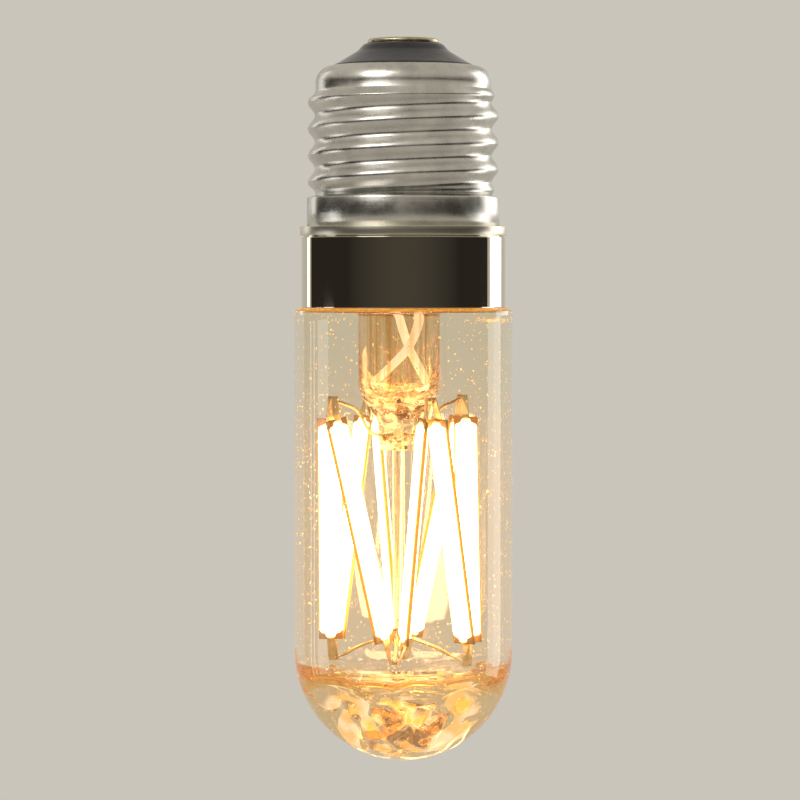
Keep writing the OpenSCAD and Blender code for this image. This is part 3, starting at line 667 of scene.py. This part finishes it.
def lit_ceramic():
    """Translucent alumina plate: it carries the chips' light to its long edges, and is dark at its ends."""
    made, tree = new_material("lit_alumina_plate")
    inside = add(tree, "MapRange", [off_middle(tree, "Z"), 0.90, 0.95, 1, 0])
    grain = pattern(tree, "TexNoise", 0.12, inputs={"Detail": 3})
    surface = add(tree, "BsdfPrincipled", {
        "Base Color": add(tree, "ValToRGB", [grain], [(0.3, "#6A4F28"), (0.7, "#8A6C3C")]), "Roughness": 0.5,
        "Emission Color": colours().ember,
        "Emission Strength": add(tree, "MapRange", [inside, 0, 1, 0.1, 0.8]),
        "Normal": add(tree, "Bump", {"Height": grain, "Distance": 0.01 * MM})})
    return finish_material(made, surface)


def plainly_seen(tree):
    """1 for the rays of the camera and for those that metal and glass send on, and 0 for light."""
    path = add(tree, "LightPath").outputs
    seen = add(tree, "Math", [path["Is Camera Ray"], path["Is Glossy Ray"]], operation="MAXIMUM")
    return add(tree, "Math", [seen, path["Is Transmission Ray"]], operation="MAXIMUM")


def floor_material():
    """Matt paper that holds the lamp's shadow, runs out into the backdrop's colour, and is clear from below.

    The last is for views from underneath, where it would hide the dome.
    """
    made, tree = new_material("matt_paper")
    tone = colours().backdrop
    fibre = pattern(tree, "TexNoise", 3, inputs={"Detail": 3})
    paper = add(tree, "BsdfPrincipled", {
        "Base Color": tone, "Roughness": 0.9, "Specular IOR Level": 0.1,
        "Normal": add(tree, "Bump", {"Height": fibre, "Distance": 0.02 * MM})})
    spot = add(tree, "TexCoord").outputs["Object"]
    away = add(tree, "VectorMath", [spot], operation="LENGTH").outputs["Value"]
    plain = add(tree, "MapRange", [away, 0.12, 0.6, 0.55, 1])
    share = add(tree, "Math", [plain, plainly_seen(tree)], operation="MULTIPLY")
    upper = add(tree, "MixShader", [share, paper, add(tree, "Emission", [tone, 1.0])])
    below = add(tree, "NewGeometry").outputs["Backfacing"]
    return finish_material(made, add(tree, "MixShader", [below, upper, add(tree, "BsdfTransparent")]))


def card_material():
    """Dark card that polished metal reflects, a little lighter in front of the lamp."""
    made, tree = new_material("dark_card")
    depth = add(tree, "SeparateXYZ", [add(tree, "TexCoord").outputs["Object"]]).outputs["Y"]
    front = add(tree, "MapRange", [depth, -CARD_DISTANCE, -0.15, 1, 0])
    tone = add(tree, "ValToRGB", [front], [(0.0, "#2E2B27"), (1.0, "#4E4A43")])
    return finish_material(made, add(tree, "Emission", [tone, 1.0]))


# Pieces

class LAMP_OT_glass_tube(bpy.types.Operator):
    """Blows the clear tube with its thick, wavy dome"""

    bl_idname = "lamp.glass_tube"
    bl_label = "Glass tube"

    def execute(self, context):
        s = sizes()
        bore = TUBE_R - s.glass_wall
        edge = 0.12 * MM
        # The bowl that the thick glass leaves in the dome: radius and depth under the ledge, in millimetres
        bowl = [(0, 7.0), (2.2, 7.0), (3.8, 6.6), (4.9, 5.4), (5.7, 3.6), (6.5, 1.9), (7.4, 0.8), (8.6, 0.3),
                (10.2, 0.1), (12.2, 0), (13.2, -0.3), (13.6, -0.9)]
        bore_foot = (bore, LEDGE_Z + 1.5 * MM)
        outline = [(TUBE_R, RIM_Z - edge), *divided((TUBE_R, RIM_Z), (TUBE_R, DOME_Z), 24)[:-1]]
        outline += arc((0, DOME_Z), TUBE_R, 0, -90, 40)
        outline += rounded([*[(radius * MM, LEDGE_Z - depth * MM) for radius, depth in bowl], bore_foot])
        outline += divided(bore_foot, (bore, RIM_Z), 24)[:-1]
        outline += [(bore, RIM_Z - edge), (bore + edge, RIM_Z), (TUBE_R - edge, RIM_Z)]
        piece = turned("tube_of_clear_glass", outline, steps=160, ring=True)

        centre = Vector((0, 0, DOME_Z))
        inner_reach = TUBE_R - 0.5 * MM
        softened, blend = LEDGE_Z + 0.6 * MM, 1.2 * MM
        group = weigh(piece, "inside of the dome",
                      lambda p: (softened - p.z) / blend if (p - centre).length < inner_reach else 0)
        emboss(piece, "sagged glass", "CLOUDS", 5 * MM, -2.2 * MM, 0.1, group, "Z", noise_depth=0)
        emboss(piece, "dome dimples", "VORONOI", s.dome_patch, -s.dome_relief, 0.3, group)
        smooth(piece, 40)
        place(piece, "clear_glass", blown_glass(), "glass_tube")
        piece.data.materials.append(ground_rim())
        for face in piece.data.polygons:
            if face.center.z > RIM_Z - edge:
                face.material_index = 1
        return {"FINISHED"}


class LAMP_OT_rim_adhesive(bpy.types.Operator):
    """Squeezes the amber adhesive out between the tube and the collar"""

    bl_idname = "lamp.rim_adhesive"
    bl_label = "Rim adhesive"

    def execute(self, context):
        low, high = GLUE_LOW.z, GLUE_HIGH.z
        middle = (low + high) / 2
        half = (high - low) / 2
        inside = COLLAR_HIGH.x - sizes().band_step - sizes().collar_wall - 0.1 * MM
        outside = GLUE_HIGH.x - half
        outline = [(inside, high), (inside, low), *arc((outside, middle), half, -90, 90, 8)]
        piece = turned("bead_of_adhesive", outline, steps=240, ring=True)
        margin = 0.3 * MM
        group = weigh(piece, "squeezed out", lambda p: (p.xy.length - outside + margin) / margin)
        emboss(piece, "adhesive lumps", "CLOUDS", 0.9 * MM, 0.12 * MM, 0.6, group)
        smooth(piece, 60)
        place(piece, "adhesive", amber_adhesive(), "rim_adhesive")
        return {"FINISHED"}


class LAMP_OT_collar(bpy.types.Operator):
    """Turns the polished collar with its flared band and turned line"""

    bl_idname = "lamp.collar"
    bl_label = "Collar"

    def execute(self, context):
        s = sizes()
        flare = COLLAR_HIGH.x
        wall = flare - s.band_step
        bore = wall - s.collar_wall
        foot = COLLAR_LOW.z
        neck = s.neck_radius
        neck_bore = neck - 1.7 * MM
        flange_bore = neck_bore - 0.8 * MM
        flange_top, flange_low = -1 * MM, -2 * MM
        line = s.line_width
        band = -s.band_height
        margin = 0.15 * MM  # loops near the foot and the line keep the mirror between them straight
        outline = [
            (bore, foot), (wall, foot), (wall, foot + margin), (wall, band - line - margin),
            (wall, band - line), (wall - line, band - line), (wall - line, band), (flare, band), (flare, 0),
            (neck, 0), (neck, s.neck_height), (neck_bore, s.neck_height), (neck_bore, flange_top),
            (flange_bore, flange_top), (flange_bore, flange_low), (bore, flange_low)]
        piece = turned("polished_collar", outline, steps=192, ring=True)
        bevel(piece, 0.07 * MM, 3, 40)
        smooth(piece, 35)
        place(piece, "polished_nickel", polished_nickel(), "collar")
        return {"FINISHED"}


class LAMP_OT_screw_shell(bpy.types.Operator):
    """Rolls the threaded shell: each ring is drawn out of the last one, and its centre circles the axis"""

    bl_idname = "lamp.screw_shell"
    bl_label = "Screw shell"

    def execute(self, context):
        s = sizes()
        skirt = SHELL_HIGH.x
        crest = 13.1 * MM
        middle = crest - s.thread_depth / 2
        edge = 0.15 * MM
        low = s.skirt_height
        shoulder = (s.mouth_radius, SHELL_HIGH.z - s.shoulder_radius)
        neck = s.mouth_radius + s.shoulder_radius
        plain = [(skirt - edge, 0), (skirt, edge), (skirt, low / 2), (skirt, low - 0.5 * MM),
                 (skirt - 0.06 * MM, low - 0.3 * MM)]
        end = [(neck, shoulder[1]), *arc(shoulder, s.shoulder_radius, 10, 90, 8),
               (s.mouth_radius - 0.02 * MM, SHELL_HIGH.z - s.shell_wall)]
        per_turn = 32
        fade_rate = 3  # the thread grows and dies in a third of a turn
        thread = []
        for i in range(s.thread_turns * per_turn + 1):
            turn = i / per_turn
            fade = min(1.0, fade_rate * turn, fade_rate * (s.thread_turns - turn))
            throw = s.thread_depth / 2 * fade
            angle = 2 * math.pi * turn
            centre = (throw * math.cos(angle), throw * math.sin(angle))
            thread.append((centre, neck + (middle - neck) * fade, low + turn * s.thread_pitch))
        rings = [*[((0, 0), *ring) for ring in plain], *thread, *[((0, 0), *ring) for ring in end]]
        deselect()
        bpy.ops.mesh.primitive_circle_add(vertices=96, radius=rings[0][1], location=(0, 0, rings[0][2]))
        piece = bpy.context.object
        piece.name = piece.data.name = "threaded_shell"
        bpy.ops.object.transform_apply(location=True)
        bpy.ops.object.mode_set(mode="EDIT")
        select_mesh()
        for (here, r, z), (there, r_next, z_next) in zip(rings, rings[1:]):
            step = (there[0] - here[0], there[1] - here[1], z_next - z)
            bpy.ops.mesh.extrude_region_move(TRANSFORM_OT_translate={"value": step})
            bpy.ops.transform.resize(value=(r_next / r, r_next / r, 1), center_override=(*there, z_next))
        select_mesh()
        bpy.ops.mesh.normals_make_consistent(inside=False)
        leave_edit()
        modify(piece, "SOLIDIFY", thickness=s.shell_wall, offset=-1.0)
        smooth(piece, 50)
        place(piece, "cap_metal", cap_sheet(), "screw_shell")
        return {"FINISHED"}


class LAMP_OT_cap_end(bpy.types.Operator):
    """Makes the black insulator, the centre contact and the solder on it"""

    bl_idname = "lamp.cap_end"
    bl_label = "Cap end"

    def execute(self, context):
        bore = 0.95 * MM
        foot = sizes().mouth_radius - 0.02 * MM
        low, top = INSULATOR_LOW.z, INSULATOR_HIGH.z
        contact = CONTACT_HIGH.x
        shell_top = SHELL_HIGH.z
        outline = [
            (bore, low), (foot, low), (foot, shell_top + 0.1 * MM), (foot - 0.6 * MM, shell_top + 0.35 * MM),
            (contact + 1.3 * MM, top - 1.0 * MM), (contact + 0.9 * MM, top - 0.5 * MM),
            (contact + 0.4 * MM, top), (bore, top)]
        insulator = turned("black_insulator", outline, ring=True)
        bevel(insulator, 0.35 * MM, 4, 15)
        smooth(insulator, 40)
        place(insulator, "cap_glass", cap_glass(), "cap_insulator")

        low, high = CONTACT_LOW.z, CONTACT_HIGH.z
        hole = 1.6 * MM
        outline = [(hole, low), (contact, low), (contact, high - 0.2 * MM), (contact - 0.3 * MM, high),
                   (hole + 0.4 * MM, high), (hole, high - 0.2 * MM)]
        disc = turned("contact_disc", outline, ring=True)
        bevel(disc, 0.12 * MM, 3, 30)
        smooth(disc, 40)
        # Tinned brass: pale yellow and dulled in blotches
        brass = plain_metal("tinned_brass", "#A99A72", "#D6CCAE", 0.3, 1.2, 0.01)
        place(disc, "contact_brass", brass, "centre_contact")

        radius = hole - 0.02 * MM
        outline = [(0, low), (radius, low), (radius, high - 0.25 * MM), (radius * 0.85, high - 0.1 * MM),
                   (radius * 0.5, high - 0.02 * MM), (0, high)]
        drop = turned("solder_drop", outline, steps=64)
        emboss(drop, "solder lumps", "CLOUDS", 1.1 * MM, 0.08 * MM, 1.0)
        smooth(drop, 60)
        # Tin solder, as it set: grey and softly wrinkled
        solder = plain_metal("tin_solder", "#9C9C9C", "#D0D0CC", 0.34, 0.6, 0.02)
        place(drop, "solder", solder, "contact_solder")
        return {"FINISHED"}


class LAMP_OT_stem(bpy.types.Operator):
    """Draws the flared stem, pinches its press, and adds the exhaust tube and the rod"""

    bl_idname = "lamp.stem"
    bl_label = "Stem"

    def execute(self, context):
        self.stem()
        glass = drawn_glass()
        self.exhaust_tube(glass)
        self.rod(glass)
        return {"FINISHED"}

    def stem(self):
        s = sizes()
        r, bore = s.stem_radius, s.stem_radius - s.stem_wall
        press_z = RIM_Z - s.stem_length
        foot = STEM_LOW.z
        flare = STEM_HIGH.x
        bend = 0.5 * MM
        under = RIM_Z - 0.3 * MM
        outline = [(bore, RIM_Z), (flare, RIM_Z), (flare, under), (r + 3 * MM, under)]
        outline += arc((r + bend, under - bend), bend, 90, 180, 8)
        outline += divided((r, under - bend), (r, press_z), 16)
        # The press as it narrows: radius, and depth under its shoulder in millimetres
        waist = [(r, 0), (r - 0.4 * MM, 1.2), (4.1 * MM, 2.8), (3.2 * MM, 4.4), (2.7 * MM, 6.0),
                 (s.press_radius, 8.6)]
        waist = [(radius, press_z - depth * MM) for radius, depth in waist]
        for upper, lower in zip(waist, waist[1:]):
            outline += divided(upper, lower, 6)
        outline += [(s.press_radius, foot + 0.5 * MM), (s.press_radius - 0.15 * MM, foot + 0.15 * MM),
                    (s.press_radius - 0.5 * MM, foot), (0, foot)]
        hollow = [(0, press_z - 1.4 * MM), (1.6 * MM, press_z - 1.3 * MM), (3.2 * MM, press_z - 0.8 * MM),
                  (4.2 * MM, press_z), (bore, press_z + 0.8 * MM)]
        piece = turned("stem_with_press", outline + hollow, steps=96, ring=True)
        edit(piece)
        pick(piece, lambda v: v.co.xy.length > r + 2 * MM)  # the flare's edge stays on the tube's axis
        bpy.ops.transform.translate(value=(-STEM_X, 0, 0))
        leave_edit()
        pinch_z, pinch_height, pinch_share = press_z - 1.5 * MM, 3 * MM, 0.9
        for vertex in piece.data.vertices:
            pinched = min(1.0, max(0.0, (pinch_z - vertex.co.z) / pinch_height))
            over = abs(vertex.co.y) - s.press_flat
            if pinched > 0 and over > 0:
                vertex.co.y -= math.copysign(over * pinched * pinch_share, vertex.co.y)
        group = weigh(piece, "press", lambda p: (press_z + 0.5 * MM - p.z) / (2 * MM))
        emboss(piece, "press folds", "VORONOI", 1.6 * MM, s.press_relief, 0.5, group)
        smooth(piece, 60)
        shift_x(piece, STEM_X)
        place(piece, "stem_glass", stem_glass(), "stem_glass")

    def exhaust_tube(self, glass):
        outer = (EXHAUST_HIGH.x - EXHAUST_LOW.x) / 2
        bore = outer - sizes().exhaust_wall
        low, tip = EXHAUST_LOW.z, EXHAUST_HIGH.z - outer
        middle = (low + tip) / 2
        outline = [(outer, low), (outer, middle), *arc((0, tip), outer, 0, 90, 10),
                   *arc((0, tip), bore, 90, 0, 10), (bore, middle), (bore, low)]
        piece = turned("exhaust_tube_of_glass", outline, steps=64, ring=True)
        smooth(piece, 40)
        shift_x(piece, STEM_X)
        place(piece, "stem_glass", glass, "exhaust_tube")

    def rod(self, glass):
        rod = sizes().rod_diameter / 2
        bead = (ROD_HIGH.x - ROD_LOW.x) / 2
        bead_z = ROD_LOW.z + bead
        lift = math.degrees(math.acos(rod / bead))
        waist = (rod, bead_z + math.sqrt(bead ** 2 - rod ** 2) + 0.1 * MM)
        edge = 0.2 * MM
        outline = [*arc((0, bead_z), bead, -90, lift, 16), waist]
        outline += divided(waist, (rod, ROD_HIGH.z - edge), 24)
        outline += [(rod - edge, ROD_HIGH.z), (0, ROD_HIGH.z)]
        piece = turned("rod_of_glass", outline, steps=64)
        smooth(piece, 40)
        shift_x(piece, STEM_X)
        place(piece, "stem_glass", glass, "centre_rod")


class LAMP_OT_wires(bpy.types.Operator):
    """Draws the leads, their woven sleeves, the anchors and the supports, each with its weld bead"""

    bl_idname = "lamp.wires"
    bl_label = "Wires and sleeves"

    def execute(self, context):
        cloth = woven_sleeve()
        # Drawn nickel-iron wire: warm grey, with faint lines along it
        wire = plain_metal("drawn_nickel_iron_wire", "#A8925F", "#E4D3A6", 0.32, 1.2, 0.003, (1, 1, 6))
        for side in ("left", "right"):
            name = f"lead_sleeve_{side}"
            place(refined(name, f"woven_sleeve_{side}"), "sleeve", cloth, name)
        names = [f"{kind}_wire_{side}" for kind in ("lead", "anchor") for side in ("left", "right")]
        names += [f"support_wire_{side}" for side in ("rear", "left", "front", "right")]
        for name in names:
            place(refined(name, f"drawn_{name}"), "nickel_wire", wire, name)
        return {"FINISHED"}


def strip_frame(node):
    """Where a strip's plate lies, and its width, thickness and length.

    In the matrix, x goes across the plate, y out of its outer face and z up along it.
    """
    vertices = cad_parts[node].data.vertices
    corners = [Vector(c) for c in sorted({tuple(round(x, 7) for x in v.co) for v in vertices})]
    centre = sum(corners, Vector()) / len(corners)
    edges = sorted((c - corners[0] for c in corners[1:]), key=lambda e: e.length)
    up = edges[3].normalized()
    up = up if up.z > 0 else -up
    out = edges[0].normalized()
    out = out if out.dot(Vector((centre.x - STEM_X, centre.y, 0))) > 0 else -out
    side = out.cross(up)
    matrix = Matrix((side, out, up)).transposed().to_4x4()
    matrix.translation = centre
    return matrix, edges[1].length, edges[0].length, edges[3].length


def mark_place(piece, half_width, half_length):
    """Keeps each vertex's place on its strip, from -1 to 1 across and along, for the material."""
    mark = piece.data.attributes.new("on_strip", "FLOAT_VECTOR", "POINT")
    for vertex, value in zip(piece.data.vertices, mark.data):
        value.vector = (vertex.co.x / half_width, vertex.co.y / MM, vertex.co.z / half_length)


def model_plate(width, thickness, length):
    """The ceramic plate of a strip, upright at the origin, with broken edges."""
    deselect()
    bpy.ops.mesh.primitive_cube_add(size=1, scale=(width, thickness, length))
    piece = bpy.context.object
    bpy.ops.object.transform_apply(scale=True)
    bpy.ops.object.mode_set(mode="EDIT")
    parts = 20
    for k in range(1, parts):
        select_mesh()
        bpy.ops.mesh.bisect(plane_co=(0, 0, length * (k / parts - 0.5)), plane_no=(0, 0, 1))
    leave_edit()
    bevel(piece, 0.03 * MM, 2, 40)
    smooth(piece, 30)
    mark_place(piece, width / 2, length / 2)
    return piece


def model_coat(thickness, length):
    """The phosphor bead of one face: domed, with round corners and narrow round tips."""
    s = sizes()
    half, tip = s.coat_width / 2, s.coat_tip / 2
    tip_length = 1.0 * MM
    corner = 0.5 * MM
    fillet = 0.15 * MM
    margin = 0.05 * MM
    deselect()
    bpy.ops.mesh.primitive_grid_add(x_subdivisions=12, y_subdivisions=124, size=1)
    piece = bpy.context.object
    bpy.ops.object.mode_set(mode="EDIT")
    select_mesh()
    bpy.ops.transform.resize(value=(s.coat_width, length - 2 * margin, 1))
    leave_edit()
    for vertex in piece.data.vertices:
        x, z = vertex.co.x, vertex.co.y
        left = length / 2 - abs(z)
        into = left - tip_length
        if into >= corner:
            reach = half
        elif into >= 0:
            reach = half - corner + math.sqrt(max(0.0, corner ** 2 - (corner - into) ** 2))
            reach = max(reach, tip)
        elif left >= tip:
            reach = tip + (half - corner - tip) * max(0.0, 1 + into / fillet)
        else:
            reach = math.sqrt(max(0.0, tip ** 2 - (tip - left) ** 2))
        share = x / half
        vertex.co.x = share * reach
        dome = s.coat_height * math.sqrt(max(0.0, 1 - share ** 2)) ** 0.9
        dome *= min(1.0, (reach / half) ** 0.5)
        vertex.co.y = thickness / 2 + dome
        vertex.co.z = z
    edit(piece)
    pick(piece, lambda e: e.is_boundary, "edges")
    bpy.ops.mesh.edge_face_add()
    select_mesh()
    bpy.ops.mesh.remove_doubles(threshold=MERGE)
    bpy.ops.mesh.normals_make_consistent(inside=False)
    leave_edit()
    smooth(piece, 60)
    mark_place(piece, half, length / 2)
    return piece


def copy_to(model, name, matrix):
    """A copy with a mesh of its own, and with its place in the mesh."""
    piece = bpy.data.objects.new(name, model.data.copy())
    piece.data.name = name
    piece.data.transform(matrix)
    bpy.context.scene.collection.objects.link(piece)
    return piece


def discard(piece):
    """Deletes a model whose copies are in place."""
    activate(piece)
    bpy.ops.object.delete()


class LAMP_OT_filament_strips(bpy.types.Operator):
    """Lays out the eight lit strips: plate, a phosphor bead on each face, chips and end tabs"""

    bl_idname = "lamp.filament_strips"
    bl_label = "Filament strips"

    def execute(self, context):
        ceramic, phosphor = lit_ceramic(), lit_phosphor()
        # Stamped steel: satin, and warm in the light of the strips
        tab = plain_metal("stamped_tab_steel", "#B7A27A", "#E2D2AC", 0.34, 1.6, 0.002)
        _, width, thickness, length = strip_frame("strip_plate_1")
        plate = model_plate(width, thickness, length)
        coat = model_coat(thickness, length)
        half_turn = Matrix.Rotation(math.pi, 4, "Z")
        for i in STRIPS:
            matrix = strip_frame(f"strip_plate_{i}")[0]
            body = copy_to(plate, f"ceramic_plate_{i}", matrix)
            place(body, "strip_ceramic", ceramic, f"strip_plate_{i}")
            outer = copy_to(coat, f"phosphor_bead_{i}", matrix)
            inner = copy_to(coat, f"phosphor_back_{i}", matrix @ half_turn)
            place(outer, "phosphor", phosphor, f"phosphor_coat_{i}")
            place(inner, "phosphor", phosphor, f"phosphor_coat_{i}")
            dress(f"end_tabs_{i}", tab)
        discard(plate)
        discard(coat)
        # Sawn sapphire chips: pale blue and glossy
        dress("led_chips", plain_finish("sapphire_chips", "#5A78C8", "#A9C4FF", 0.15, 0.3, 0.004))
        return {"FINISHED"}


class LAMP_OT_driver(bpy.types.Operator):
    """Finishes the driver board and its parts inside the cap, and the mica disc under them"""

    bl_idname = "lamp.driver"
    bl_label = "Driver and mica disc"

    def execute(self, context):
        # Split mica: brown, glossy, and layered along its faces
        mica = plain_finish("mica_sheet", "#8C6F42", "#CDB68A", 0.35, 3.0, 0.02, {"Coat Weight": 0.4},
                            (1, 1, 0.2))
        # Printed solder mask: white, with a soft gloss
        mask = plain_finish("white_solder_mask", "#CFD5CC", "#EEF1EA", 0.4, 2.0, 0.01)
        # Shrunk plastic sleeve, dark blue, with the bare aluminium of the can above it
        can_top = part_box("smoothing_capacitor")[1].z
        can = two_tone("shrunk_sleeve_and_can", can_top - 0.5 * MM, can_top - 0.4 * MM, "#141B2E", "#C9CBCC",
                       0.35, 1.0)
        # Lacquered copper winding, with the drum's charcoal ferrite above it
        drum_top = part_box("choke")[1].z
        drum = two_tone("wound_ferrite_drum", drum_top - 1.1 * MM, drum_top - 1.0 * MM, "#9A5226", "#2A2A2C",
                        0.4)
        # Moulded epoxy: black and matt
        epoxy = plain_finish("moulded_epoxy", "#121212", "#242426", 0.5, 0.4, 0.01)
        # Dipped lacquer: brown, with a soft gloss
        lacquer = plain_finish("lacquered_resistor", "#6E5A34", "#93794A", 0.35, 1.0, 0.01)
        # Extruded silicone rubber: smooth and slightly dull
        red = plain_finish("red_silicone_insulation", "#7E1410", "#A8211A", 0.45, 1.5, 0.01)
        black = plain_finish("black_silicone_insulation", "#121214", "#232326", 0.45, 1.5, 0.01)
        for node, finish in (("heat_disc", mica), ("driver_board", mask), ("smoothing_capacitor", can),
                             ("choke", drum), ("bridge_rectifier", epoxy), ("driver_chip", epoxy),
                             ("fuse_resistor", lacquer), ("live_wire", red), ("neutral_wire", black)):
            dress(node, finish)
        return {"FINISHED"}


def aim(thing, target):
    """Turns a lamp or the camera to look at a point."""
    thing.rotation_euler = (Vector(target) - thing.location).to_track_quat("-Z", "Y").to_euler()


def round_about(angle, distance, height):
    """A place round the lamp: the angle is seen from above, with 0 at the camera and 90 on its right."""
    turn = math.radians(angle - 90)
    return Vector((distance * math.cos(turn), distance * math.sin(turn), height))


def softbox(name, place_at, target, width, height, radiance):
    """A rectangular lamp that shows in metal and glass but not to the camera."""
    deselect()
    bpy.ops.object.light_add(type="AREA", location=place_at)
    lamp = bpy.context.object
    lamp.name = name
    lamp.data.shape = "RECTANGLE"
    lamp.data.size, lamp.data.size_y = width, height
    lamp.data.energy = math.pi * width * height * radiance
    lamp.visible_camera = lamp.visible_transmission = False
    aim(lamp, target)


def strip_light(name, start, end, low, high, radiance):
    """An upright softbox in front of the card, between two angles and two heights."""
    distance = CARD_DISTANCE - 20 * MM
    width = 2 * distance * math.tan(math.radians(end - start) / 2)
    middle = round_about((start + end) / 2, distance, (low + high) / 2)
    softbox(name, middle, Vector((0, 0, middle.z)), width, high - low, radiance)


class LAMP_OT_stage(bpy.types.Operator):
    """Sets the paper floor, the soft lights, the dark card, the pale world and the camera"""

    bl_idname = "lamp.stage"
    bl_label = "Stage"

    def card(self, name, start, end):
        """A dark card bent round the lamp, from one angle to the other. Only reflections show it."""
        half = 0.10
        card = outline_points(name, [(CARD_DISTANCE, -half), (CARD_DISTANCE, half)])
        select_mesh()
        bpy.ops.transform.rotate(value=-math.radians(start - 90), orient_axis="Z",
                                 center_override=(0, 0, 0))
        bpy.ops.mesh.spin(steps=24, angle=-math.radians(end - start), center=(0, 0, 0), axis=(0, 0, 1))
        leave_edit()
        card.data.materials.append(card_material())
        card.visible_camera = card.visible_diffuse = card.visible_transmission = card.visible_shadow = False

    def execute(self, context):
        scene = context.scene
        centre = Vector((0, 0, (CAD_BOX[0].z + CAD_BOX[1].z) / 2))
        deselect()
        bpy.ops.mesh.primitive_plane_add(size=8, location=(0, 0, -0.2))
        floor = context.object
        floor.name = "paper_floor"
        floor.data.materials.append(floor_material())

        world = bpy.data.worlds.new("pale studio")
        scene.world = world
        world.use_nodes = True
        tree = world.node_tree
        tree.nodes.clear()
        fill = add(tree, "Background", ["#FFFFFF", 0.5])
        pale = add(tree, "Background", [colours().backdrop, 1.0])
        add(tree, "OutputWorld", [add(tree, "MixShader", [plainly_seen(tree), fill, pale])])

        softbox("key", (-0.45, -0.55, 0.5), centre, 0.5, 0.5, 3.3)
        # The bars that show in the collar and down the glass: name, angles, heights and radiance
        floor_end, top_end = -0.16, 0.2
        collar_end, glass_end = COLLAR_LOW.z - 3.6 * MM, COLLAR_LOW.z - 4.6 * MM
        for name, start, end, low, high, radiance in (
                ("light_right", 113, 122, floor_end, top_end, 2.0),
                ("collar_light_right", 122, 143, collar_end, top_end, 2.0),
                ("collar_light_left", -137, -130, collar_end, top_end, 1.6),
                ("glass_light_right", 98, 113, floor_end, glass_end, 2.2),
                ("glass_light_left", -100, -84, floor_end, glass_end, 1.6),
                ("glass_line_left", -107, -105, floor_end, glass_end, 2.2),
                ("glass_line_outer", -113, -111, floor_end, glass_end, 2.2)):
            strip_light(name, start, end, low, high, radiance)
        self.card("dark_card", -126, 108)

        # The photograph's place, half a metre away, with a field that takes in the whole lamp
        beside = -0.46 * MM
        eye = Vector((beside, -0.5, -8 * MM))
        look = Vector((beside, 0, centre.z))
        bpy.ops.object.camera_add(location=eye)
        camera = context.object
        camera.name = "camera"
        aim(camera, look)
        field = 0.110
        sensor = 36
        camera.data.sensor_width = sensor
        camera.data.lens = sensor * (look - eye).length / field
        camera.data.clip_start = 0.01
        scene.camera = camera
        scene.view_settings.view_transform = "Standard"
        scene.cycles.max_bounces = 32
        scene.cycles.glossy_bounces = 28
        scene.cycles.transmission_bounces = 28
        scene.cycles.transparent_max_bounces = 32
        return {"FINISHED"}


STEPS = (LAMP_OT_stage, LAMP_OT_glass_tube, LAMP_OT_rim_adhesive, LAMP_OT_collar, LAMP_OT_screw_shell,
         LAMP_OT_cap_end, LAMP_OT_stem, LAMP_OT_wires, LAMP_OT_filament_strips, LAMP_OT_driver)


class LAMP_PT_panel(bpy.types.Panel):
    """Lists the pieces of the lamp"""

    bl_idname = "LAMP_PT_panel"
    bl_label = "Filament lamp"
    bl_space_type = "VIEW_3D"
    bl_region_type = "UI"
    bl_category = "Filament lamp"

    def draw(self, context):
        layout = self.layout
        for step in STEPS:
            layout.operator(step.bl_idname)
        for group in (context.scene.lamp_sizes, context.scene.lamp_colours):
            for name in group.__annotations__:
                layout.prop(group, name)


CLASSES = (LampSizes, LampColours, *STEPS, LAMP_PT_panel)


def register():
    for made in CLASSES:
        bpy.utils.register_class(made)
    bpy.types.Scene.lamp_sizes = PointerProperty(type=LampSizes)
    bpy.types.Scene.lamp_colours = PointerProperty(type=LampColours)


def unregister():
    del bpy.types.Scene.lamp_colours
    del bpy.types.Scene.lamp_sizes
    for made in reversed(CLASSES):
        bpy.utils.unregister_class(made)


def main():
    """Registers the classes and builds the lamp."""
    register()
    for step in STEPS:
        group, name = step.bl_idname.split(".")
        getattr(getattr(bpy.ops, group), name)()


if __name__ == "__main__":
    main()
